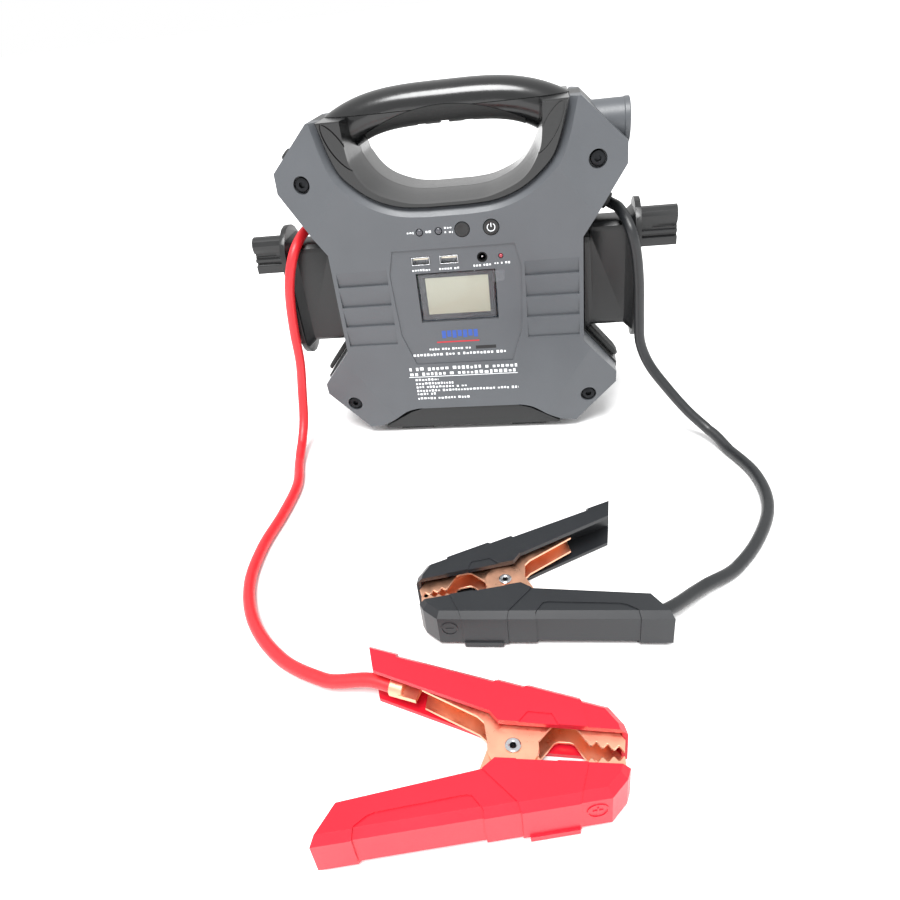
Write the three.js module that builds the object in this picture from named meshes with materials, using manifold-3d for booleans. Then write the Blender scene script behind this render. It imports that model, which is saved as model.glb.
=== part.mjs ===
// Jump starter pack, 12 / 24 V, standing upright on its feet with its two booster clamps lying in front.
// Millimetres. X to the right, Y away from the front face, Z up. The origin is under the middle of the pack.
import * as THREE from "three";
import { mergeVertices } from "three/addons/utils/BufferGeometryUtils.js";
import Module from "manifold-3d";

const wasm = await Module();
wasm.setup();

// ---- driving dimensions ----
const GAP = 0.3; // air between two pieces that sit against each other
const WALL = 2.8; // shell wall

const CORNER_X = 119; // half width over the upper arm tips
const LOW_CORNER_X = 114.5; // half width over the lower arm tips
const WAIST_X = 90; // half width at the waist
const TOE_X = 84; // half width over the toes
const BOWL_X = 82.5; // half width of the handle bowl at its mouth
const ARCH_X = 41; // half width of the flat part of the base arch

const TOE_Z = 6; // underside of the toes
const ARCH_Z = 24; // top of the base arch
const LOW_CORNER_Z = 38; // lower arm tip, bottom end
const LOW_SHOULDER_Z = 47; // lower arm tip, top end
const WAIST_LOW_Z = 76.5; // bottom of the waist
const WAIST_HIGH_Z = 152.5; // top of the waist
const SHOULDER_Z = 196; // upper arm tip, bottom end
const TIP_Z = 209.3; // upper arm tip, top end
const TOP_Z = 238.5; // top of the shells
const BOWL_Z = 178.9; // bottom of the handle bowl

const DEPTH = 65; // front face to rear face
const BAND = 24; // depth of the black mid frame
const FRAME_LIP = 1.2; // the mid frame stands out past the shells by this at the sides
const ARM_SLOPE = 10; // degrees the arm facets fall away from the flat front
const BOWL_BEVEL = 5.5; // width of the bright bevel round the bowl
const EDGE_BEVEL = 1.2; // bevel on the other edges of the front shell
const REAR_TAPER = 9; // how far the rear shell draws in to its flat back at the sides

const HANDLE_TOP_Z = 253.5; // top of the carry handle
const HANDLE_TALL = 26; // handle section, up and down
const HANDLE_DEEP = 30; // handle section, front to back
const MOUTH_FLARE = 3.2; // the handle opening widens by this towards the front
const GRIP_X = 39; // half length of the soft grip
const GRIP_THICK = 3; // soft grip thickness

const SCREW_X = 99.7; // upper case screws, half spacing
const SCREW_Z = 201;
const LOW_SCREW_X = 93.5; // lower case screws, half spacing
const LOW_SCREW_Z = 29;
const POCKET_R = 6; // screw pocket radius
const SCREW_HEAD_R = 4.9;
const SHANK_R = 1.8;

const PANEL_DEPTH = 0.8; // the centre panel sits this far below the front face
const ROW_Z = 163.9; // lamps and buttons
const PORT_Z = 143.4; // ports
const LED_R = 2.4; // 5 mm indicator lamps
const SMALL_LED_R = 1.5; // 3 mm reverse lamp
const OVERRIDE_R = 5.1;
const POWER_R = 5.4;
const USB_WIDE = 13.1; // USB-A shell
const USB_TALL = 5.7;
const JACK_R = 3.4; // DC jack nose
const JACK_PIN_HOLE_R = 2.75;
const LCD_X = 28.4; // half width of the display window
const LCD_LOW_Z = 97.3;
const LCD_HIGH_Z = 134.2;
const BUTTON_TRAVEL = 1.2;

const LIGHT_R = 14.2; // lamp head radius
const LIGHT_CLEAR = 1.3; // between the lamp head and the case screw under it
const LIGHT_Z = SCREW_Z + SHANK_R + LIGHT_CLEAR + LIGHT_R;
const LIGHT_OUT = 2.5; // the lamp head ends this far past the arm tip

const BRACKET_OUT = 36; // waist to the inner face of the flange
const FLANGE_THICK = 4;
const FLANGE_R = 21.5; // half width of the flange, and its end radius
const FLANGE_LOW_Z = 66;
const FLANGE_HIGH_Z = 168;
const WEB_HALF = 14.5; // half thickness of the web
const POST_LONG = 26;
const POST_R = 6.8; // round bar on top of the clamp post
const POST_HIGH_Z = 161;

const CABLE_R = 3.75;
const GLAND_ALONG = 22; // gland centre up the shoulder from the waist corner

const FOOT_X = 46; // feet, half spacing
const FOOT_Y = 18;
const FOOT_LONG = 28;
const FOOT_WIDE = 10;
const FOOT_TALL = 4;

const CLAMP_TALL = 24; // clamp cover, across the two side walls
const CLAMP_WALL = 2.4;
const CLAMP_BEVEL = 3.2;
const NOSE_U = 50; // rivet to nose
const TAIL_U = 78; // rivet to tail
const TAIL_V = 51.5; // half spread of the tails
const NOSE_V = 21.5; // half spread at the nose shoulder
const SHEET = 1.4; // jaw sheet thickness
const RIVET_R = 2.8;
const TOOTH_PITCH = 5;
const TOOTH_TALL = 1.7;

const FRONT_Y = -DEPTH / 2;
const BAND_Y = BAND / 2;
const RED_CLAMP = { x: 44.3, y: -328.1, turn: -1.8 };
const BLACK_CLAMP = { x: 36.5, y: -223.9, turn: -165.6 };

// ---- materials ----
const paint = (color, roughness, metalness = 0) => new THREE.MeshStandardMaterial({ color, roughness, metalness });
const GREY = paint(0x6d6e73, 0.45);
const BLACK = paint(0x2b2d2e, 0.5);
const GLOSS_BLACK = paint(0x1d1f20, 0.25);
const RUBBER = paint(0x1b1c1c, 0.85);
const STEEL = paint(0xb9bcc0, 0.3, 1);
const DARK_STEEL = paint(0x1c1c1e, 0.4, 0.9);
const COPPER = paint(0xc97a4a, 0.3, 1);
const RED = paint(0xd42036, 0.4);
const RED_RUBBER = paint(0xe83a3e, 0.55);
const CLEAR = paint(0x55595c, 0.08);
const GLASSY = paint(0x3c4246, 0.05);
const LCD = paint(0xb9b9a4, 0.3);
const CREAM = paint(0xe9e2cf, 0.5);
const GREEN = paint(0x1e5a35, 0.5);
const CHROME = paint(0xd8dade, 0.1, 1);

const group = new THREE.Group();
group.name = "jump_starter";

// ---- solid helpers ----
const rad = (deg) => (deg * Math.PI) / 180;

// A closed three.js geometry as a manifold solid.
function solid(geometry) {
  const g = (geometry.index ? geometry.toNonIndexed() : geometry.clone()).deleteAttribute("normal");
  g.deleteAttribute("uv");
  const m = mergeVertices(g, 1e-4);
  const data = { numProp: 3, vertProperties: m.attributes.position.array };
  return new wasm.Manifold(new wasm.Mesh({ ...data, triVerts: new Uint32Array(m.index.array) }));
}

// A manifold solid as a named mesh in the group.
function keep(name, body, material) {
  const { vertProperties, triVerts } = body.getMesh();
  const g = new THREE.BufferGeometry();
  g.setAttribute("position", new THREE.BufferAttribute(new Float32Array(vertProperties), 3));
  g.setIndex(new THREE.BufferAttribute(new Uint32Array(triVerts), 1));
  const flat = g.toNonIndexed();
  flat.computeVertexNormals();
  const mesh = new THREE.Mesh(flat, material);
  mesh.name = name;
  group.add(mesh);
}

const join = (...bodies) => bodies.reduce((a, b) => a.add(b));
const cut = (body, ...tools) => tools.reduce((a, b) => a.subtract(b), body);
const boxOf = (x0, x1, y0, y1, z0, z1) =>
  solid(new THREE.BoxGeometry(x1 - x0, y1 - y0, z1 - z0).translate((x0 + x1) / 2, (y0 + y1) / 2, (z0 + z1) / 2));

const area = (ring) =>
  ring.reduce((s, [a, b], i) => {
    const [c, d] = ring[(i + 1) % ring.length];
    return s + (a * d - b * c) / 2;
  }, 0);

// A solid through a stack of equal-sized rings; place(a, b, k) puts a point of ring k in space.
function loft(rings, place) {
  const ccw = area(rings[0]) > 0 ? rings : rings.map((r) => [...r].reverse());
  const n = ccw[0].length;
  const position = ccw.flatMap((ring, k) => ring.flatMap(([a, b]) => place(a, b, k)));
  const faces = [];
  for (let k = 0; k + 1 < ccw.length; k++)
    for (let i = 0; i < n; i++) {
      const j = (i + 1) % n;
      faces.push([k * n + i, k * n + j, k * n + n + j]);
      faces.push([k * n + i, k * n + n + j, k * n + n + i]);
    }
  const flatRing = (ring) => ring.map(([a, b]) => new THREE.Vector2(a, b));
  const last = (ccw.length - 1) * n;
  THREE.ShapeUtils.triangulateShape(flatRing(ccw[0]), []).forEach(([a, b, c]) => faces.push([c, b, a]));
  THREE.ShapeUtils.triangulateShape(flatRing(ccw.at(-1)), []).forEach(([a, b, c]) =>
    faces.push([last + a, last + b, last + c]),
  );
  const at = (i) => new THREE.Vector3().fromArray(position, i * 3);
  const volume = faces.reduce((s, [a, b, c]) => s + at(a).dot(at(b).cross(at(c))), 0);
  const wound = volume > 0 ? faces : faces.map(([a, b, c]) => [a, c, b]);
  const g = new THREE.BufferGeometry();
  g.setAttribute("position", new THREE.Float32BufferAttribute(position, 3));
  g.setIndex(wound.flat());
  return solid(g);
}

// Rings in the XZ plane stacked along Y, in XY stacked along Z, in YZ stacked along X.
const alongY = (rings, ys) => loft(rings, (a, b, k) => [a, ys[k], b]);
const alongZ = (rings, zs) => loft(rings, (a, b, k) => [a, b, zs[k]]);
const alongX = (rings, xs) => loft(rings, (a, b, k) => [xs[k], a, b]);
const slabY = (ring, y0, y1) => alongY([ring, ring], [y0, y1]);
const slabZ = (ring, z0, z1) => alongZ([ring, ring], [z0, z1]);
const slabX = (ring, x0, x1) => alongX([ring, ring], [x0, x1]);

const circle = (r, sides = 18, a0 = 0, b0 = 0, turn = 0) =>
  Array.from({ length: sides }, (_, i) => {
    const t = rad(turn) + (i * 2 * Math.PI) / sides;
    return [a0 + r * Math.cos(t), b0 + r * Math.sin(t)];
  });
const rodY = (r, x, z, y0, y1, sides = 18) => slabY(circle(r, sides, x, z), y0, y1);
const rodX = (r, y, z, x0, x1, sides = 24) => slabX(circle(r, sides, y, z), x0, x1);
const rodZ = (r, x, y, z0, z1, sides = 16) => slabZ(circle(r, sides, x, y), z0, z1);

// A ring moved inwards: inset(i) is the distance for the edge that starts at point i.
function offset(ring, inset) {
  const by = typeof inset === "function" ? inset : () => inset;
  const n = ring.length;
  const sign = area(ring) > 0 ? 1 : -1;
  const line = (i) => {
    const [a, b] = ring[i];
    const [c, d] = ring[(i + 1) % n];
    const l = Math.hypot(c - a, d - b);
    const [nx, ny] = [(-(d - b) / l) * sign, ((c - a) / l) * sign];
    return { nx, ny, w: nx * a + ny * b + by(i) };
  };
  return ring.map((p, i) => {
    const e = line((i + n - 1) % n);
    const f = line(i);
    const det = e.nx * f.ny - e.ny * f.nx;
    return Math.abs(det) < 0.02
      ? [p[0] + f.nx * by(i), p[1] + f.ny * by(i)]
      : [(e.w * f.ny - f.w * e.ny) / det, (f.w * e.nx - e.w * f.nx) / det];
  });
}

// Both halves of an outline from its right half, which runs from the bottom to the top.
const bothSides = (half) => [...half, ...half.map(([x, z]) => [-x, z]).reverse()];

// ---- outlines in the XZ plane ----
// The handle bowl, right half, from its mouth down to its floor.
function bowlHalf() {
  const drop = TOP_Z - BOWL_Z;
  const at = (fx, fz) => [BOWL_X * fx, BOWL_Z + drop * fz];
  return [at(0.976, 0.86), at(0.935, 0.64), at(0.873, 0.44), at(0.764, 0.28), at(0.643, 0.155), at(0.51, 0.07)];
}
const BOWL_FLOOR = [
  [BOWL_X * 0.376, BOWL_Z + 1.1],
  [BOWL_X * 0.17, BOWL_Z],
];

const ARM_TOP = [CORNER_X - 29.5, TOP_Z];

// The X-shaped body outline; lip moves the shoulder, waist and flank outwards.
function bodyHalf(lip = 0) {
  return [
    [ARCH_X, ARCH_Z],
    [ARCH_X + 10, ARCH_Z - 2.7],
    [ARCH_X + 23, TOE_Z + 6.8],
    [TOE_X - 11, TOE_Z + 2],
    [TOE_X, TOE_Z],
    [LOW_CORNER_X + lip / 2, LOW_CORNER_Z],
    [LOW_CORNER_X + lip, LOW_SHOULDER_Z + lip / 2],
    [WAIST_X + lip, WAIST_LOW_Z + lip / 2],
    [WAIST_X + lip, WAIST_HIGH_Z - lip / 2],
    [CORNER_X + lip, SHOULDER_Z - lip / 2],
    [CORNER_X, TIP_Z],
    ARM_TOP,
    [BOWL_X, TOP_Z],
    ...bowlHalf(),
    ...BOWL_FLOOR,
  ];
}
const body = (lip = 0) => bothSides(bodyHalf(lip));
const HALF_COUNT = bodyHalf().length;
const MOUTH_INDEX = bodyHalf().findIndex(([x, z]) => x === BOWL_X && z === TOP_Z);
const LAST_BOWL = 2 * HALF_COUNT - 2 - MOUTH_INDEX;
const isBowl = (i) => i >= MOUTH_INDEX && i <= LAST_BOWL;
const bowlBevel = (i, wide) => (i === MOUTH_INDEX || i === LAST_BOWL ? wide * 0.62 : wide);

// ---- front and rear shells ----
const FACETS = [
  { x: 74, z: 201.2, turn: 33.4 },
  { x: 91, z: 63, turn: -33.2 },
];

// A ring stack whose front follows the four arm facets; grow moves the facets back with the wall.
function facetedFront(rings, ys, grow) {
  const deep = [...ys.slice(0, -1), DEPTH * 3];
  let whole = alongY(rings, ys);
  for (const side of [1, -1])
    for (const { x, z, turn } of FACETS) {
      const nx = Math.cos(rad(turn)) * side;
      const nz = Math.sin(rad(turn));
      const fall = Math.tan(rad(ARM_SLOPE));
      const lean = (a, b) => fall * (nx * (a - x * side) + nz * (b - z)) + grow;
      whole = whole.intersect(loft(rings, (a, b, k) => [a, deep[k] + lean(a, b), b]));
    }
  return whole;
}

function frontBlank() {
  const ring = body();
  const part = BOWL_BEVEL * 0.6;
  const rings = [
    offset(ring, (i) => (isBowl(i) ? bowlBevel(i, BOWL_BEVEL) : EDGE_BEVEL)),
    offset(ring, (i) => (isBowl(i) ? bowlBevel(i, part) : 0)),
    ring,
    ring,
  ];
  return facetedFront(rings, [FRONT_Y, FRONT_Y + EDGE_BEVEL, FRONT_Y + 3, -BAND_Y - GAP], 0);
}

function frontCavity() {
  const ring = offset(body(), WALL);
  return facetedFront([ring, ring], [FRONT_Y + WALL + 0.6, BAND_Y], 0.2);
}

const facetY = (x, z) => {
  const fall = Math.tan(rad(ARM_SLOPE));
  const drops = FACETS.map((f) => fall * (Math.cos(rad(f.turn)) * (x - f.x) + Math.sin(rad(f.turn)) * (z - f.z)));
  return FRONT_Y + Math.max(0, ...drops);
};

const SCREWS = [
  ["top_left", -SCREW_X, SCREW_Z],
  ["top_right", SCREW_X, SCREW_Z],
  ["bottom_left", -LOW_SCREW_X, LOW_SCREW_Z],
  ["bottom_right", LOW_SCREW_X, LOW_SCREW_Z],
];
const pocketFloor = (x, z) => facetY(Math.abs(x), z) + 5;

// The centre panel: a shield with cut upper and lower corners.
const PANEL = bothSides([
  [37, 63],
  [45.5, 88],
  [47.6, 134.6],
  [43.4, 152],
]);

// One saw-tooth course of the side grips, from a ledge at z up to the next land.
function louvre(side, z, tall, deep) {
  const inner = 49.5;
  const outer = WAIST_X - 3;
  const ring = [
    [FRONT_Y - 1, z],
    [FRONT_Y + deep, z],
    [FRONT_Y, z + tall],
    [FRONT_Y - 1, z + tall],
  ];
  return slabX(ring, Math.min(side * inner, side * outer), Math.max(side * inner, side * outer));
}

function louvres() {
  const pitch = 15.6;
  const tools = [];
  for (const side of [1, -1]) {
    for (let i = 0; i < 4; i++) tools.push(louvre(side, 81 + i * pitch, i < 3 ? pitch - 1.4 : 11, i ? 2 : 1.5));
  }
  return tools;
}

const CONTROLS = {
  led12: -21.8,
  led24: -8.4,
  override: 8.1,
  power: 28.1,
  usb1: -23.7,
  usb2: -3.4,
  jack: 20.2,
  reverse: 33.3,
};

function controlHoles() {
  const y0 = FRONT_Y - 2;
  const y1 = FRONT_Y + 6;
  const usb = (x) =>
    boxOf(x - USB_WIDE / 2 - GAP, x + USB_WIDE / 2 + GAP, y0, y1, PORT_Z - USB_TALL / 2 - GAP, PORT_Z + USB_TALL / 2 + GAP);
  return [
    rodY(LED_R + GAP, CONTROLS.led12, ROW_Z, y0, y1, 14),
    rodY(LED_R + GAP, CONTROLS.led24, ROW_Z, y0, y1, 14),
    rodY(OVERRIDE_R + GAP, CONTROLS.override, ROW_Z, y0, y1, 20),
    rodY(POWER_R + GAP, CONTROLS.power, ROW_Z, y0, y1, 20),
    usb(CONTROLS.usb1),
    usb(CONTROLS.usb2),
    rodY(JACK_R + GAP, CONTROLS.jack, PORT_Z, y0, y1, 16),
    rodY(SMALL_LED_R + GAP, CONTROLS.reverse, PORT_Z, y0, y1, 12),
    boxOf(-LCD_X - GAP, LCD_X + GAP, y0, y1, LCD_LOW_Z - GAP, LCD_HIGH_Z + GAP),
  ];
}

function lightBore() {
  return rodX(LIGHT_R + GAP, 0, LIGHT_Z, CORNER_X - 34, CORNER_X + 12);
}

function frontShell() {
  let shell = cut(frontBlank(), frontCavity());
  const blank = frontBlank();
  for (const [, x, z] of SCREWS) {
    const floor = pocketFloor(x, z);
    shell = shell.add(rodY(POCKET_R + 2.2, x, z, FRONT_Y, floor + 2.5).intersect(blank));
    shell = cut(shell, rodY(POCKET_R, x, z, FRONT_Y - 2, floor, 18), rodY(SHANK_R + 0.5, x, z, floor - 1, 0, 10));
  }
  // Backing behind the grips, so that their grooves leave a full wall.
  for (const side of [1, -1]) {
    const near = side * 46;
    const far = side * (WAIST_X - 1);
    shell = shell.add(boxOf(Math.min(near, far), Math.max(near, far), FRONT_Y + 3, FRONT_Y + 5.2, 78, 142));
  }
  const panel = slabY(PANEL, FRONT_Y - 1, FRONT_Y + PANEL_DEPTH);
  return cut(shell, panel, ...louvres(), ...controlHoles(), lightBore());
}

// How far each edge of the outline draws in at the back: little at the base and round the bowl.
function rearDraw(i) {
  const h = i < HALF_COUNT - 1 ? i : 2 * HALF_COUNT - 2 - i;
  if (isBowl(i)) return bowlBevel(i, 2.5);
  if (h < 4 || h === MOUTH_INDEX - 1) return 1;
  return h === MOUTH_INDEX - 2 ? REAR_TAPER * 0.4 : REAR_TAPER;
}

function rearShell() {
  const ring = body();
  const drawn = offset(ring, rearDraw);
  const blank = (back) => alongY([ring, ring, drawn], [BAND_Y + GAP - back, BAND_Y + 6 - back, DEPTH / 2 - back]);
  const hollow = blank(WALL * 1.6).intersect(slabY(offset(ring, WALL), 0, DEPTH / 2 - WALL));
  let shell = blank(0).subtract(hollow);
  for (const [, x, z] of SCREWS) {
    const foot = rodY(SHANK_R + 2.8, x, z, BAND_Y + 1, DEPTH / 2, 12).intersect(blank(0));
    const boss = rodY(SHANK_R + 2.8, x, z, 2, BAND_Y + 2, 12).add(foot);
    shell = cut(shell.add(boss), rodY(SHANK_R + GAP, x, z, 0, BAND_Y + 5, 10));
  }
  const label = boxOf(-44, 44, DEPTH / 2 - 0.6, DEPTH / 2 + 1, 72, 128);
  return cut(shell, label, lightBore());
}

// ---- mid frame, pads and feet ----
const SHOULDER = new THREE.Vector3(CORNER_X - WAIST_X, 0, SHOULDER_Z - WAIST_HIGH_Z).normalize();
const SHOULDER_OUT = new THREE.Vector3(SHOULDER.z, 0, -SHOULDER.x);
const GLAND_AT = new THREE.Vector3(WAIST_X, 0, WAIST_HIGH_Z)
  .addScaledVector(SHOULDER, GLAND_ALONG)
  .addScaledVector(SHOULDER_OUT, FRAME_LIP);

// Rings turned about the shoulder normal, so that a lathe sits on the shoulder.
function onShoulder(profile, side, sides = 14) {
  const rings = profile.map(([r]) => circle(r, sides));
  const up = new THREE.Vector3(0, 1, 0);
  return loft(rings, (a, b, k) => {
    const p = GLAND_AT.clone().addScaledVector(SHOULDER_OUT, profile[k][1]);
    p.addScaledVector(SHOULDER, a).addScaledVector(up, b);
    return [p.x * side, p.y, p.z];
  });
}

const FLANK = new THREE.Vector3(LOW_CORNER_X - WAIST_X, 0, LOW_SHOULDER_Z - WAIST_LOW_Z).normalize();
const FLANK_OUT = new THREE.Vector3(-FLANK.z, 0, FLANK.x);

// The push button for the lamp sits on the upper left arm chamfer.
const CHAMFER = new THREE.Vector3(ARM_TOP[0] - CORNER_X, 0, TOP_Z - TIP_Z).normalize();
const CHAMFER_OUT = new THREE.Vector3(CHAMFER.z, 0, -CHAMFER.x);
const SWITCH_R = 4.6;
const SWITCH_AT = new THREE.Vector3(CORNER_X, 0, TIP_Z).addScaledVector(CHAMFER, 8);

function onChamfer(profile, sides = 14) {
  const rings = profile.map(([r]) => circle(r, sides));
  return loft(rings, (a, b, k) => {
    const p = SWITCH_AT.clone().addScaledVector(CHAMFER_OUT, profile[k][1]).addScaledVector(CHAMFER, a);
    return [-p.x, b, p.z];
  });
}

function midFrame() {
  const ring = body(FRAME_LIP);
  let frame = slabY(ring, -BAND_Y, BAND_Y).subtract(slabY(offset(ring, 4), -BAND_Y - 1, BAND_Y + 1));
  const half = ARCH_X + 4.5;
  const base = bothSides([
    [TOE_X - 13, FOOT_TALL + GAP],
    [TOE_X - 13, FOOT_TALL + 1.5],
    [half + 3, ARCH_Z - 6],
    [half - 8, ARCH_Z - 2.6],
  ]);
  frame = frame.add(slabY(base, FRONT_Y + 5, -FRONT_Y - 5));
  frame = frame.add(boxOf(-ARCH_X, ARCH_X, -BAND_Y, BAND_Y, FOOT_TALL + GAP, ARCH_Z + 2));
  for (const side of [1, -1]) frame = frame.subtract(onShoulder([[6.3, -9], [6.3, 4]], side));
  frame = frame.subtract(onChamfer([[SWITCH_R + GAP, -9], [SWITCH_R + GAP, 4]]));
  return cut(frame, lightBore());
}

// A leaf-shaped bumper pad laid on the lower flank of the mid frame.
function flankPad(side) {
  const long = Math.hypot(LOW_CORNER_X - WAIST_X, LOW_SHOULDER_Z - WAIST_LOW_Z);
  const ring = [
    [3, -8],
    [long - 4, -8],
    [long - 1, -4],
    [long - 1.5, 4],
    [long - 6, 8.5],
    [6, 8.5],
    [2, 5],
  ];
  const start = new THREE.Vector3(WAIST_X, 0, WAIST_LOW_Z).addScaledVector(FLANK_OUT, FRAME_LIP + GAP + 0.4);
  const tall = [0, 2, 3.4];
  return loft([ring, ring, offset(ring, 1.6)], (a, b, k) => {
    const p = start.clone().addScaledVector(FLANK, a).addScaledVector(FLANK_OUT, tall[k]);
    return [p.x * side, b, p.z];
  });
}

function foot(x, y) {
  const ring = (grow) => [
    [x - FOOT_LONG / 2 - grow, y - FOOT_WIDE / 2 - grow],
    [x + FOOT_LONG / 2 + grow, y - FOOT_WIDE / 2 - grow],
    [x + FOOT_LONG / 2 + grow, y + FOOT_WIDE / 2 + grow],
    [x - FOOT_LONG / 2 - grow, y + FOOT_WIDE / 2 + grow],
  ];
  return alongZ([ring(-1), ring(0), ring(0)], [0, 1, FOOT_TALL]);
}

// ---- carry handle ----
const bowlIn = (gap) =>
  bothSides([
    [BOWL_X - gap, TOP_Z],
    ...bowlHalf().map(([x, z]) => [x - gap, z + gap * 0.6]),
    ...BOWL_FLOOR.map(([x, z]) => [x, z + gap]),
  ]);

// The opening under the handle, widened by flare.
function opening(flare) {
  const f = flare / MOUTH_FLARE;
  return bothSides([
    [BOWL_X * 0.3, BOWL_Z + 7.5 - flare],
    [BOWL_X * 0.57 + 4 * f, BOWL_Z + 16 - flare * 0.7],
    [BOWL_X * 0.72 + 6 * f, BOWL_Z + 28 - flare * 0.3],
    [BOWL_X * 0.785 + 7 * f, BOWL_Z + 44],
    [BOWL_X * 0.79 + 8.5 * f, HANDLE_TOP_Z + 20],
  ]);
}

const HANDLE_PATH = new THREE.CatmullRomCurve3(
  [-1, -0.93, -0.8, -0.6, -0.33, 0, 0.33, 0.6, 0.8, 0.93, 1].map((f) => {
    const sag = 21 * Math.abs(f) ** 3.1;
    return new THREE.Vector3(f * (BOWL_X - 4), 0, HANDLE_TOP_Z - HANDLE_TALL / 2 - sag);
  }),
);

// An elliptical bar along the handle path; shrink takes the same off all round.
function handleBar(shrink, steps = 16, sides = 16) {
  const rings = Array.from({ length: steps + 1 }, () => circle(1, sides, 0, 0, 9));
  const tall = HANDLE_TALL / 2 - shrink;
  const deep = HANDLE_DEEP / 2 - shrink;
  return loft(rings, (a, b, k) => {
    const p = HANDLE_PATH.getPointAt(k / steps);
    const t = HANDLE_PATH.getTangentAt(k / steps);
    const swell = 1 + 0.12 * Math.abs(2 * (k / steps) - 1) ** 6;
    return [p.x - t.z * b * tall * swell, a * deep, p.z + t.x * b * tall * swell];
  });
}

const gripBelt = (grow) => {
  const z = HANDLE_TOP_Z - HANDLE_TALL * 0.62;
  return boxOf(-GRIP_X - grow, GRIP_X + grow, -HANDLE_DEEP, HANDLE_DEEP, z - HANDLE_TALL * 2, z + grow);
};

// One moulded half of the handle and its frame, split on the mid plane.
function handleHalf(side, flare) {
  const rim = -FRONT_Y - 1.5;
  const ys = [0.15, rim - 1.2, rim].map((y) => y * side);
  const ring = bowlIn(0.4);
  const trimmed = offset(ring, 1);
  const throat = [opening(0), opening(flare * 0.85), opening(flare), opening(flare)];
  const legs = alongY([ring, ring, trimmed], ys).subtract(
    alongY(throat, [-1 * side, (rim - 5) * side, rim * side, (rim + 2) * side]),
  );
  const room = bothSides([
    [BOWL_X - 1.4, TOP_Z + 0.4],
    ...bowlHalf().map(([x, z]) => [x - 0.6, z + 0.6]),
    ...BOWL_FLOOR.map(([x, z]) => [x, z + 1]),
  ]);
  const head = boxOf(-BOWL_X - 3, BOWL_X + 3, -DEPTH, DEPTH, TOP_Z + 0.4, HANDLE_TOP_Z + 30);
  const halfSpace = side < 0 ? [-DEPTH, -0.15] : [0.15, DEPTH];
  const inside = join(slabY(room, -DEPTH, DEPTH), head).intersect(boxOf(-200, 200, ...halfSpace, 0, 400));
  const bar = cut(handleBar(0), gripBelt(GAP).subtract(handleBar(GRIP_THICK + GAP)));
  return legs.add(bar.intersect(inside));
}

// The soft grip wraps the underside of the bar and has finger ribs.
function grip() {
  let skin = handleBar(0).intersect(gripBelt(0)).subtract(handleBar(GRIP_THICK));
  for (let i = -3; i <= 3; i++) {
    const x = i * 11;
    skin = skin.subtract(boxOf(x - 1, x + 1, -5, 5, HANDLE_TOP_Z - HANDLE_TALL - 4, HANDLE_TOP_Z - HANDLE_TALL + 0.9));
  }
  return skin;
}

// ---- controls and display ----
const PANEL_Y = FRONT_Y + PANEL_DEPTH;

function displayLens() {
  const side = LCD_X;
  return boxOf(-side, side, PANEL_Y + 0.1, PANEL_Y + 2.1, LCD_LOW_Z, LCD_HIGH_Z);
}

// The peel-off film over the window, with a pull tab at its upper right corner.
function screenFilm() {
  const inset = 1.5;
  const ring = [
    [-LCD_X + inset, LCD_LOW_Z + inset],
    [LCD_X - inset, LCD_LOW_Z + inset],
    [LCD_X - inset, LCD_HIGH_Z - 9],
    [LCD_X + 6.5, LCD_HIGH_Z - 8.5],
    [LCD_X + 7, LCD_HIGH_Z - 0.5],
    [-LCD_X + inset, LCD_HIGH_Z - inset + 0.4],
  ];
  return slabY(ring, PANEL_Y - 0.6, PANEL_Y - 0.25);
}

function lcdModule() {
  const y = PANEL_Y + 2.1 + GAP;
  const frame = boxOf(-LCD_X + 1, LCD_X - 1, y, y + 3.2, LCD_LOW_Z + 1, LCD_HIGH_Z - 1);
  return frame.subtract(boxOf(-23, 23.2, y - 1, y + 0.4, 101.8, 130));
}

function usbShell(x) {
  const [w, h] = [USB_WIDE / 2, USB_TALL / 2];
  const y0 = PANEL_Y - 0.2;
  const y1 = FRONT_Y + 13;
  const outer = boxOf(x - w, x + w, y0, y1, PORT_Z - h, PORT_Z + h);
  return outer.subtract(boxOf(x - w + 0.4, x + w - 0.4, y0 - 1, y1 - 0.6, PORT_Z - h + 0.4, PORT_Z + h - 0.4));
}

function usbTongue(x) {
  return boxOf(x - 5.2, x + 5.2, PANEL_Y + 0.8, FRONT_Y + 12, PORT_Z + 0.35, PORT_Z + 2.1);
}

function dcJack() {
  const nose = rodY(JACK_R, CONTROLS.jack, PORT_Z, PANEL_Y - 0.1, FRONT_Y + 5, 16);
  const block = boxOf(CONTROLS.jack - 4.5, CONTROLS.jack + 4.5, FRONT_Y + 4.4, FRONT_Y + 13, PORT_Z - 5, PORT_Z + 4.4);
  const pin = rodY(0.9, CONTROLS.jack, PORT_Z, PANEL_Y + 1.5, FRONT_Y + 12.5, 8);
  return nose.add(block).subtract(rodY(JACK_PIN_HOLE_R, CONTROLS.jack, PORT_Z, FRONT_Y - 1, FRONT_Y + 12, 16)).add(pin);
}

// A lamp lens: a domed rod with a flange at its back.
function lamp(r, x, z, y0) {
  const profile = [
    [r * 0.55, y0 - 0.9],
    [r * 0.9, y0 - 0.35],
    [r, y0 + 0.4],
    [r, FRONT_Y + 5.6],
    [r + 0.5, FRONT_Y + 5.7],
    [r + 0.5, FRONT_Y + 6.6],
  ];
  return alongY(profile.map(([q]) => circle(q, 12, x, z)), profile.map(([, y]) => y));
}

// A round push button with a wide foot behind the shell.
function button(r, x) {
  const face = FRONT_Y - 0.5;
  const profile = [
    [r - 0.7, face],
    [r, face + 0.7],
    [r, FRONT_Y + 5],
    [r + 1.2, FRONT_Y + 5.1],
    [r + 1.2, FRONT_Y + 6.4],
  ];
  return alongY(profile.map(([q]) => circle(q, 20, x, ROW_Z)), profile.map(([, y]) => y));
}

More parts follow.
